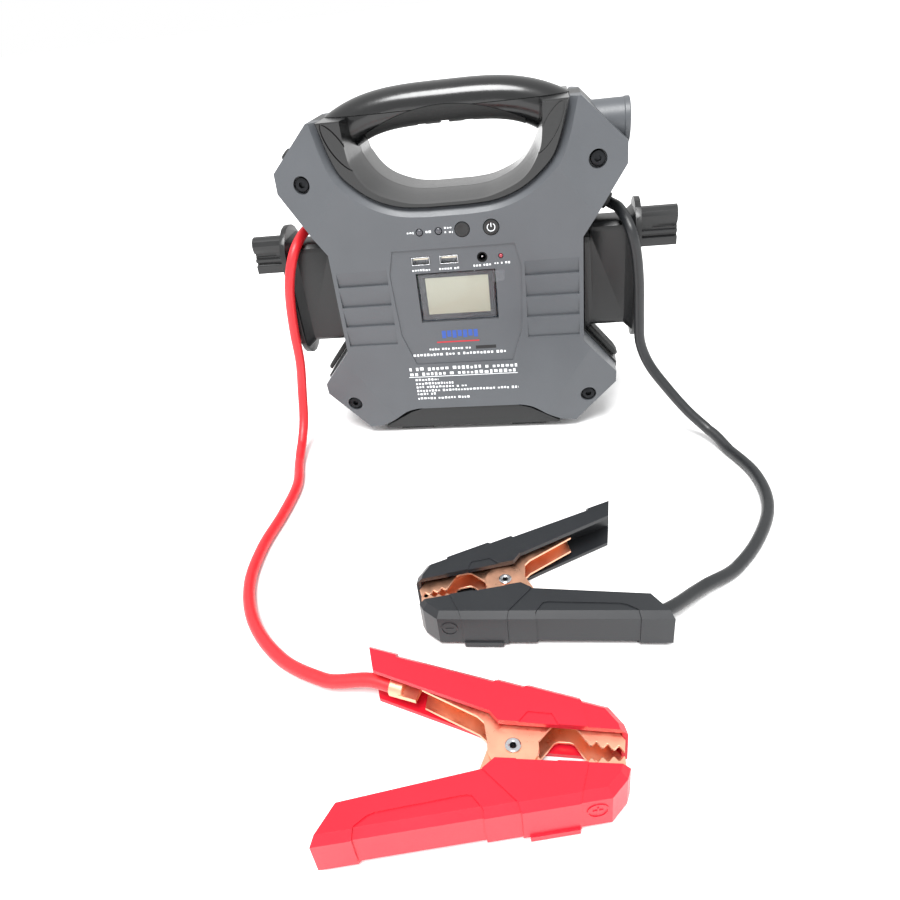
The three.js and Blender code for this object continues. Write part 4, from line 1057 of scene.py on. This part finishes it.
# ---- screws ----
class PACK_OT_screws(bpy.types.Operator):
    """Makes the four hex socket case screws"""

    bl_idname = "pack.screws"
    bl_label = "Case Screws"

    def execute(self, context):
        for place_name, (x, z) in SCREWS.items():
            seat = pocket_floor(x, z) - GAP
            r, top = SCREW_HEAD_R, seat - 3.6
            profile = [
                (0, top),
                (r - 0.9, top),
                (r - 0.3, top + 0.25),
                (r, top + 0.9),
                (r, seat),
                (SHANK_R, seat),
                (SHANK_R, BAND_Y + 3.5),
                (SHANK_R - 0.6, BAND_Y + 4),
                (0, BAND_Y + 4),
            ]
            screw = turned("socket_screw_" + place_name, profile, (x, 0, z), "Y")
            socket = circle(2.3, 6, x, z, 12)
            carve(screw, slab("socket", socket, top - 1, seat - 1.2))
            finish(screw, "root", stuff(black_oxide), "black_steel", "case_screw_" + place_name, edge=0.12, segments=2, crisp=30)
        return {"FINISHED"}


# ---- controls ----
def lens(name, r, x, z, y, material, slot, node):
    profile = [(0, y - 1.3), (r * 0.35, y - 1.22), (r * 0.65, y - 0.95), (r * 0.88, y - 0.45), (r, y + 0.4)]
    profile += [(r, FRONT_Y + 5.6), (r + 0.5, FRONT_Y + 5.7), (r + 0.5, FRONT_Y + 6.6), (0, FRONT_Y + 6.6)]
    finish(turned(name, profile, (x, 0, z), "Y"), "root", material, slot, node, edge=0, crisp=40)


def push_button(name, r, x, body):
    """A round button with a dished face and a wide foot behind the shell."""
    face = FRONT_Y - 0.5
    profile = [(0, face + 0.35), (r * 0.5, face + 0.25), (r - 1.4, face), (r - 0.8, face), (r - 0.25, face + 0.2)]
    profile += [(r, face + 0.8), (r, FRONT_Y + 5), (r + 1.2, FRONT_Y + 5.1), (r + 1.2, FRONT_Y + 6.4), (0, FRONT_Y + 6.4)]
    cap = turned(name, profile, (x, 0, ROW_Z), "Y")
    return finish(cap, body, stuff(frame_nylon), "black_plastic", name.replace("_cap", "_button"), edge=0, crisp=38)


def flat_arc(name, r, wide, x, z, start, end, y, thick=0.12):
    outer, inner = arc(r, x, z, start, end, 40), arc(r - wide, x, z, end, start, 40)
    return slab(name, outer + inner, y, y + thick)


def power_sign(body):
    """The generic stand-by sign: a broken ring with a bar in its gap."""
    y = FRONT_Y - 0.32
    ring = flat_arc("power_sign", 2.9, 0.55, POWER_X, ROW_Z, 122, 418, y, 0.2)
    unite(ring, block("bar", POWER_X - 0.3, POWER_X + 0.3, y, y + 0.2, ROW_Z + 0.2, ROW_Z + 3.4))
    finish(ring, body, stuff(ink, "white_ink", tuple(colours().print_white)), "cream_plastic", edge=0)


class PACK_OT_controls(bpy.types.Operator):
    """Makes the lamps, push buttons, USB ports and the DC jack on the front"""

    bl_idname = "pack.controls"
    bl_label = "Buttons, Lamps and Ports"

    def execute(self, context):
        smoked = stuff(epoxy, "smoked_epoxy", "3F4046")
        lens("lamp_12v", LED_R, LED_12_X, ROW_Z, FRONT_Y + 0.4, smoked, "smoked_lens", "led_12v")
        lens("lamp_24v", LED_R, LED_24_X, ROW_Z, FRONT_Y + 0.4, smoked, "smoked_lens", "led_24v")
        red = stuff(epoxy, "red_epoxy", "9A2B3A")
        lens("lamp_reverse", SMALL_LED_R, REVERSE_X, PORT_Z, PANEL_Y + 0.3, red, "red_lens", "led_reverse")
        push_button("override_cap", OVERRIDE_R, OVERRIDE_X, "override_key")
        push_button("power_cap", POWER_R, POWER_X, "power_key")
        power_sign("power_key")
        for n, x in enumerate(USB_X, 1):
            metal_shell = from_node("usb_can_%d" % n, "usb_shell_%d" % n)
            finish(metal_shell, "root", stuff(nickel), "steel", "usb_shell_%d" % n, edge=0.12, segments=2)
            tongue = block("usb_blade_%d" % n, x - 5.4, x + 5.4, PANEL_Y + 1.8, FRONT_Y + 11, PORT_Z + 0.5, PORT_Z + 1.6)
            cream = stuff(moulded, "pbt_cream", tuple(linear("E9E2CF")), 0.4)
            finish(tongue, "root", cream, "cream_plastic", "usb_tongue_%d" % n, edge=0.15, segments=2)
            for k in range(4):
                at = x - 3.75 + 2.5 * k
                low, high = PORT_Z + 0.42, PORT_Z + 0.5
                pad = block("usb_contact_%d_%d" % (n, k + 1), at - 0.5, at + 0.5, PANEL_Y + 2.2, FRONT_Y + 11, low, high)
                finish(pad, "root", stuff(nickel), "steel", edge=0.03, segments=1)
        jack = [(JACK_HOLE_R, FRONT_Y + 11), (JACK_HOLE_R, PANEL_Y + 0.5), (JACK_HOLE_R + 0.3, PANEL_Y - 0.1)]
        jack += [(JACK_R - 0.2, PANEL_Y - 0.1), (JACK_R, PANEL_Y + 0.2), (JACK_R, FRONT_Y + 13), (0, FRONT_Y + 13)]
        jack += [(0, PANEL_Y + 1.5), (0.6, PANEL_Y + 1.6), (0.9, PANEL_Y + 2.2), (0.9, FRONT_Y + 11)]
        turned_jack = turned("jack_socket", jack[:7] + [(0, FRONT_Y + 11)], (JACK_X, 0, PORT_Z), "Y")
        finish(turned_jack, "root", stuff(frame_nylon), "black_plastic", "dc_jack", edge=0, crisp=35)
        pin = [(0, PANEL_Y + 1.5), (0.6, PANEL_Y + 1.6), (0.9, PANEL_Y + 2.2), (0.9, FRONT_Y + 11.5), (0, FRONT_Y + 11.5)]
        finish(turned("jack_pin", pin, (JACK_X, 0, PORT_Z), "Y", n=24), "root", stuff(nickel), "steel", edge=0, crisp=35)
        return {"FINISHED"}


# ---- display ----
class PACK_OT_display(bpy.types.Operator):
    """Makes the display: window, peel-off film, black bezel and panel"""

    bl_idname = "pack.display"
    bl_label = "Display"

    def execute(self, context):
        y = PANEL_Y + 2.1 + GAP
        bezel = block("lcd_bezel", -LCD_X + 1, LCD_X - 1, y, y + 3.2, LCD_LOW_Z + 1, LCD_HIGH_Z - 1)
        carve(bezel, block("sight", -23, 23.2, y - 1, y + 0.5, 101.8, 130))
        dark = stuff(moulded, "lcd_border_ink", tuple(linear("1C1D20")), 0.3)
        finish(bezel, "root", dark, "black_plastic", "lcd_module", edge=0.1, segments=1)
        panel = block("lcd_panel", -22.8, 23, y + 0.2, y + 0.45, 102, 129.8)
        finish(panel, "root", stuff(lcd_glass), "lcd", edge=0.05, segments=1)
        pane = block("display_window", -LCD_X, LCD_X, PANEL_Y + 0.1, PANEL_Y + 2.1, LCD_LOW_Z, LCD_HIGH_Z)
        finish(pane, "root", stuff(window, "acrylic_window", "55585C", 0.1), "window", "display_lens", edge=0.25)
        inset = 1.5
        ring = [
            (-LCD_X + inset, LCD_LOW_Z + inset),
            (LCD_X - inset, LCD_LOW_Z + inset),
            (LCD_X - inset, LCD_HIGH_Z - 9.6),
            *arc(1.2, LCD_X + 5.4, LCD_HIGH_Z - 7.6, -90, 0, 6),
            *arc(1.2, LCD_X + 5.4, LCD_HIGH_Z - 1.8, 0, 90, 6),
            (-LCD_X + inset, LCD_HIGH_Z - inset + 0.4),
        ]
        film = slab("protective_film", ring, PANEL_Y - 0.5, PANEL_Y - 0.3)
        finish(film, "root", stuff(window, "polyester_film", "B9BCC2", 0.05), "film", "screen_film", edge=0)
        return {"FINISHED"}


# ---- lamp ----
class PACK_OT_lamp(bpy.types.Operator):
    """Makes the work lamp on the right shoulder and its push button on the left"""

    bl_idname = "pack.lamp"
    bl_label = "Work Lamp"

    def execute(self, context):
        end, start = LIGHT_END, LIGHT_END - 29
        at = (0, 0, LIGHT_Z)
        r = LIGHT_R
        body = [(0, start), (r - 1.2, start), (r - 0.4, start + 1), (r - 0.4, end - 4), (r, end - 3.4), (r, end - 0.6)]
        body += [(r - 0.6, end), (r - 1.4, end), (r - 2, end - 0.6), (r - 2, start + 2), (0, start + 2)]
        finish(turned("lamp_barrel", body, at, "X"), "root", stuff(shell_abs), "grey_abs", "light_housing", edge=0.15, crisp=28)
        r = LIGHT_R - 2 - GAP
        bowl = [(4, end - 14), (7.4, end - 11.5), (9.6, end - 8), (r - 0.9, end - 3.4), (r - 0.9, end - 3)]
        back = [(r, end - 3), (r, end - 4), (10.8, end - 8.5), (8.6, end - 12), (6, end - 14.5), (3.6, end - 14.5)]
        finish(turned("lamp_reflector", bowl + back, at, "X"), "root", stuff(mirror_coat), "reflector", "light_reflector", edge=0, crisp=50)
        glass = [(0, end - 2.6), (r, end - 2.6), (r, end - 1), (r - 0.3, end - 0.7), (0, end - 0.6)]
        clear = stuff(window, "polycarbonate_window", "B4B8BE", 0.2)
        finish(turned("lamp_glass", glass, at, "X"), "root", clear, "window", "light_lens", edge=0.1)
        board = [(0, end - 17), (8, end - 17), (8, end - 15.2), (2.4, end - 15.2), (2.4, end - 14), (1.8, end - 13.2), (0, end - 13)]
        led = stuff(moulded, "led_phosphor", tuple(linear("E8DFA8")), 0.35)
        finish(turned("lamp_emitter", board, at, "X"), "root", led, "cream_plastic", "light_emitter", edge=0.1)
        chamfer = Vector((-29.5, 0, TOP_Z - TIP_Z)).normalized()
        out = Vector((chamfer.z, 0, -chamfer.x))
        centre = Vector((CORNER_X, 0, TIP_Z)) + chamfer * 8
        r = 4.6
        profile = [(0, -6.4), (r + 1.2, -6.4), (r + 1.2, -5), (r, -4.9), (r, 3.4), (r - 0.3, 4.1), (r - 1, 4.6), (0, 4.4)]
        cap = turned("lamp_switch", profile, (-centre.x, 0, centre.z), along=(-out.x, 0, out.z))
        finish(cap, "light_key", stuff(soft_rubber), "rubber", "light_button", edge=0.1, crisp=38)
        return {"FINISHED"}


# ---- booster clamps, in their own frame ----
COVER = ((NOSE_U, 8), (NOSE_U - 1.5, 13), (NOSE_U - 8, NOSE_V), (-TAIL_U, TAIL_V))
COVER += ((-TAIL_U + 6.5, TAIL_V - 17.5), (-12, 14.5), (-7, 9.2))
JAW_LOW = 4.2
JAW_STEP = SHEET + 0.4


def skin(name, grow, low, high):
    """The cover's outline with its outer edges bevelled above and below."""
    drawn = offset(list(COVER), lambda i: CLAMP_BEVEL - grow if i <= 2 else 0)
    full = offset(list(COVER), lambda i: -grow if i <= 2 else 0)
    heights = (low, low + CLAMP_BEVEL, high - CLAMP_BEVEL, high)
    return stack(name, list(zip((drawn, full, full, drawn), heights)), "Z")


BELT = ((32.6, -5), (32.6, 8.8), (29.4, 24.3), (29, 60), (9, 60), (7.5, 34.6), (4, 28), (-12, 14.5), (-12, -5))
HANDLE_RECESS = ((-61.5, 43), (-57, 38.3), (-54, 36.6), (-17.5, 26.3), (-15, 26.4), (-9.5, 32), (-7, 80), (-63, 80))
SIDE_LIGHT = ((0.8, 7.3), (5.9, 14.6), (16.9, 14.1), (20.8, 6.8), (20.8, -5), (0.8, -5))


def wall_matrix(u):
    """A frame on the cover's outer wall: X along it to the nose, Y out of it."""
    run = (Vector(COVER[2]) - Vector(COVER[3])).normalized()
    at = Vector(COVER[2]) + run * (u - COVER[2][0]) / run.x
    turn = Matrix(((run.x, -run.y, 0), (run.y, run.x, 0), (0, 0, 1))).to_4x4()
    return Matrix.Translation((at.x, at.y, 0)) @ turn


def polarity_mark(cover, plus):
    """A raised ring with a plus or a minus in it, on the outer wall near the nose."""
    r, z, thick = 4.6, 13.5, 0.35
    ring = slab("mark", circle(r, 48, 0, z), -1, thick)
    carve(ring, slab("inside", circle(r - 0.6, 48, 0, z), -2, 2))
    bars = [block("bar", -2.2, 2.2, -1, thick, z - 0.4, z + 0.4)]
    if plus:
        bars.append(block("bar", -0.4, 0.4, -1, thick, z - 2.2, z + 2.2))
    for piece in (ring, *bars):
        piece.data.transform(wall_matrix(36))
        unite(cover, piece)


def clamp_cover(name, plus):
    blank = skin(name, 0, 0, CLAMP_TALL)
    raised = skin("raised", 0.7, -0.0, CLAMP_TALL + 0.6)
    unite(blank, common(raised, slab("zone", BELT, -1, 40, "Z")))
    sunk = slab("recess", HANDLE_RECESS, -1, 40, "Z")
    carve(blank, carve(sunk, skin("core", -0.8, 0.7, CLAMP_TALL - 0.7)))
    rail = slab("rail", offset(list(COVER), lambda i: -1.7 if i <= 2 else 0), 1.4, 4.4, "Z")
    unite(blank, common(rail, block("zone", 8.5, 29, 0, 60, 0, 10)))
    hollow = offset(list(COVER), lambda i: CLAMP_WALL if i <= 2 else -12)
    carve(blank, slab("hollow", hollow, CLAMP_WALL, CLAMP_TALL - CLAMP_WALL, "Z"))
    carve(blank, slab("side_light", SIDE_LIGHT, CLAMP_TALL + 0.05, CLAMP_TALL + 2, "Z"))
    notch = [(-69, 20), (-69, 33.2), (-95, 40), (-95, 20)]
    carve(blank, slab("notch", notch, CLAMP_TALL - 0.5, CLAMP_TALL + 2, "Z"))
    polarity_mark(blank, plus)
    return blank


def cheek():
    """Jaw outline: tail in the handle, lobe round the rivet, throat, and a waved toothed edge to the nose."""
    teeth, steps = [], 28
    for i in range(steps + 1):
        u = NOSE_U - 2 - 16.5 * i / steps
        rise = 0.4 + 2.3 * i / steps
        teeth.append((u, rise + 1.1 - 1.1 * math.cos(2 * math.pi * i / steps * 3.5)))
    lobe = arc(11.5, 0, 0, 15, -185, 36)
    throat = [(26.5, 11.8), (24.5, 12.6), (19.5, 12.6), (17.5, 11.6)]
    tail = [(-14, 11), (-17.5, 14), (-46, 27), (-46, 40.5), (NOSE_U - 9.5, NOSE_V - 4)]
    return [(NOSE_U - 1.4, 6), *teeth, *throat, *lobe, *tail]


def clamp_jaw(name, low, high):
    jaw = slab(name, cheek(), low, high, "Z")
    web = [(-60, 80), (-60, 40.7 + 14 * 0.254), (NOSE_U - 9.5, NOSE_V - 5.5), (60, 8), (60, 80)]
    space = slab("space", [(70, -20), (70, 80), (-70, 80), (-70, -20)], low + SHEET, high - SHEET, "Z")
    carve(space, slab("web", web, low, high, "Z"))
    return carve(jaw, space, rod("hole", RIVET_R + GAP, (0, 0, low - 1), high - low + 2, "Z"))


def other_half(obj):
    obj.data.transform(Matrix.Diagonal((1, -1, 1, 1)))
    return obj


def clamp_rivet(name, low, high):
    """A tubular rivet with rolled heads."""
    r, bore, head = RIVET_R, 1.5, RIVET_R + 0.8
    top = [(head - 0.5, high + GAP), (head, high + 0.6), (head - 0.5, high + 1), (bore + 0.6, high + 1), (bore, high + 0.5)]
    foot = [(bore, low - 0.5), (bore + 0.6, low - 1), (head - 0.5, low - 1), (head, low - 0.6), (head - 0.5, low - GAP)]
    return turned(name, [(r, low - GAP), (r, high + GAP), *top, *foot])


def clamp_spring(name, low, high):
    """A torsion spring round the rivet, its two legs laid along the handles."""
    wire, r, turns, start = 0.8, 5.6, 4, 125
    base, rise = low + wire + GAP, high - low - 2 * (wire + GAP)
    steps = turns * 32 + 12
    sweep = turns * 360 + 110
    points = [(-11.4, 7.4, base)]
    for i in range(steps + 1):
        t = rad(start + sweep * i / steps)
        points.append((r * math.cos(t), r * math.sin(t), base + rise * i / steps))
    points.append((-11.4, -7.4, base + rise))
    data = bpy.data.curves.new(name, "CURVE")
    data.dimensions = "3D"
    data.bevel_depth = wire
    data.bevel_resolution = 4
    data.use_fill_caps = True
    run = data.splines.new("POLY")
    run.points.add(len(points) - 1)
    for point, at in zip(run.points, points):
        point.co = (*at, 1)
    return baked_curve(link(name, data))


def baked_curve(obj):
    """A curve object made into a mesh object of the same name."""
    mesh = bpy.data.meshes.new_from_object(obj.evaluated_get(bpy.context.evaluated_depsgraph_get()))
    name = obj.name
    bpy.data.objects.remove(obj)
    return link(name, mesh)


def clamp_lug(name):
    """A crimp barrel with a flat tongue along the jaw's tail."""
    along = (-TAIL_RUN.x, -TAIL_RUN.y, 0)
    at = (LUG_U, LUG_V, CLAMP_TALL / 2)
    r, bore = 4.9, CABLE_R + GAP
    barrel = turned(name, [(0, -8), (r - 0.4, -8), (r, -7.6), (r, -0.9), (r - 0.4, -0.5), (bore, -0.5), (bore, -5), (0, -5)], at, along=along)
    side = Vector((-TAIL_RUN.y, TAIL_RUN.x)) * 5
    near, far = Vector((LUG_U, LUG_V)) + TAIL_RUN * 6, Vector((LUG_U, LUG_V)) + TAIL_RUN * 16
    ring = [tuple(near + side), tuple(near - side), tuple(far - side), tuple(far + side)]
    return unite(barrel, slab("tongue", ring, CLAMP_TALL / 2 - 1.2, CLAMP_TALL / 2 + 1.2, "Z"))


def put_clamp(name, plastic, plastic_slot):
    copper, low, high = stuff(copper_plate), JAW_LOW, CLAMP_TALL - JAW_LOW
    plus = name == "red_clamp"
    pieces = [
        (clamp_cover(name + "_cover_a", plus), "root", plastic, plastic_slot, "cover_cable_half", 0.7, 12),
        (other_half(clamp_cover(name + "_cover_b", plus)), name + "_free_half", plastic, plastic_slot, "cover_free_half", 0.7, 12),
        (clamp_jaw(name + "_jaw_a", low, high), "root", copper, "copper", "jaw_cable_half", 0.25, 12),
        (other_half(clamp_jaw(name + "_jaw_b", low + JAW_STEP, high - JAW_STEP)), name + "_free_half", copper, "copper", "jaw_free_half", 0.25, 12),
        (clamp_rivet(name + "_pin", low, high), "root", stuff(nickel), "steel", "rivet", 0.0, 35),
        (clamp_spring(name + "_coil", low + 2 * JAW_STEP, high - 2 * JAW_STEP), "root", stuff(nickel), "steel", "spring", 0.0, 60),
        (clamp_lug(name + "_lug"), "root", copper, "copper", "cable_lug", 0.2, 35),
    ]
    for obj, body, material, slot, node, edge, crisp in pieces:
        obj.data.transform(clamp_matrix(name))
        finish(obj, body, material, slot, name + "_" + node, edge=edge, crisp=crisp)


class PACK_OT_clamps(bpy.types.Operator):
    """Makes the red and black booster clamps"""

    bl_idname = "pack.clamps"
    bl_label = "Booster Clamps"

    def execute(self, context):
        put_clamp("red_clamp", stuff(clamp_red), "red_plastic")
        put_clamp("black_clamp", stuff(clamp_black), "clamp_black_plastic")
        return {"FINISHED"}


# ---- print on the front ----
class PACK_OT_print(bpy.types.Operator):
    """Prints rows of short generic marks on the centre panel"""

    bl_idname = "pack.print"
    bl_label = "Front Print"

    def execute(self, context):
        rng = random.Random(7)
        rows = {"white": [], "blue": [], "red": [], "black": []}

        def row(x0, x1, z, tall, paint="white", gap=0.42):
            x = x0
            while x < x1 - 0.3:
                wide = min(rng.uniform(0.55, 0.95) * tall, x1 - x)
                top, foot = rng.uniform(0.2, 0.5) * tall, rng.uniform(0.3, 0.5) * tall
                rows[paint].append((x, x + wide, z - foot, z + top))
                x += wide + tall * (gap if rng.random() < 0.86 else 1.1)

        for x0, x1, z in ((-30.6, -17.5, 137), (-11, 3.4, 137), (13.6, 26.3, 137.7), (28.5, 39.6, 138.4)):
            row(x0, x1, z, 1.7)
        for x0, x1, z in ((-30.6, -25.9, 164), (-17.4, -13.3, 164), (-4.2, 1.5, 165.8), (-4.2, 1.5, 162.8)):
            row(x0, x1, z, 1.8)
        for i in range(7):
            rows["blue"].append((-14.8 + 4 * i, -11.8 + 4 * i, 83.6 + (i % 2), 89.6))
        rows["red"].append((-19.3, 12.9, 80, 81))
        row(-25.8, 8, 74.9, 1.9)
        rows["black"].append((9.8, 25.1, 73.6, 76.2))
        row(-38.9, 32.6, 70.5, 2.3)
        row(-43.6, 40, 59, 3.1)
        row(-43.6, 40, 54.6, 3.1)
        rows["white"].append((-44.7, 40.1, 52, 52.5))
        for end, z in ((-21.9, 49.7), (-10.4, 46.3), (-0.1, 43.3), (40, 40), (-24.6, 37.2), (1.3, 33.2)):
            row(-40, end, z, 2.1)
        for paint, code in (("white", "E9ECEE"), ("blue", "2D4F9E"), ("red", "B8202C"), ("black", "141416")):
            bm = bmesh.new()
            for x0, x1, z0, z1 in rows[paint]:
                y = PANEL_Y if 63 < z0 < 152 else FRONT_Y
                size = Matrix.Diagonal((x1 - x0, 0.12, z1 - z0, 1))
                middle = Matrix.Translation(((x0 + x1) / 2, y - 0.03, (z0 + z1) / 2))
                bmesh.ops.create_cube(bm, size=1, matrix=middle @ size)
            marks = from_bmesh("pad_print_" + paint, bm)
            finish(marks, "root", stuff(ink, paint + "_ink", tuple(linear(code))), "cream_plastic", edge=0)
        return {"FINISHED"}


# ---- the add-on ----
OPERATORS = (
    PACK_OT_stage,
    PACK_OT_cables,
    PACK_OT_insides,
    PACK_OT_shells,
    PACK_OT_frame,
    PACK_OT_handle,
    PACK_OT_screws,
    PACK_OT_controls,
    PACK_OT_display,
    PACK_OT_lamp,
    PACK_OT_clamps,
    PACK_OT_print,
)


class PACK_PT_panel(bpy.types.Panel):
    """Lists the sizes, the colours and the operators"""

    bl_idname = "PACK_PT_panel"
    bl_label = "Jump Starter Pack"
    bl_space_type = "VIEW_3D"
    bl_region_type = "UI"
    bl_category = "Jump Starter"

    def draw(self, context):
        for group in (context.scene.pack_sizes, context.scene.pack_colours):
            box = self.layout.box()
            for name in group.bl_rna.properties.keys():
                if name not in ("rna_type", "name"):
                    box.prop(group, name)
        for operator in OPERATORS:
            self.layout.operator(operator.bl_idname)


CLASSES = (PackSizes, PackColours, *OPERATORS, PACK_PT_panel)


def register():
    for cls in CLASSES:
        bpy.utils.register_class(cls)
    bpy.types.Scene.pack_sizes = PointerProperty(type=PackSizes)
    bpy.types.Scene.pack_colours = PointerProperty(type=PackColours)


def unregister():
    del bpy.types.Scene.pack_colours
    del bpy.types.Scene.pack_sizes
    for cls in reversed(CLASSES):
        bpy.utils.unregister_class(cls)


def main():
    register()
    for operator in OPERATORS:
        group, name = operator.bl_idname.split(".")
        getattr(getattr(bpy.ops, group), name)()


if __name__ == "__main__":
    main()
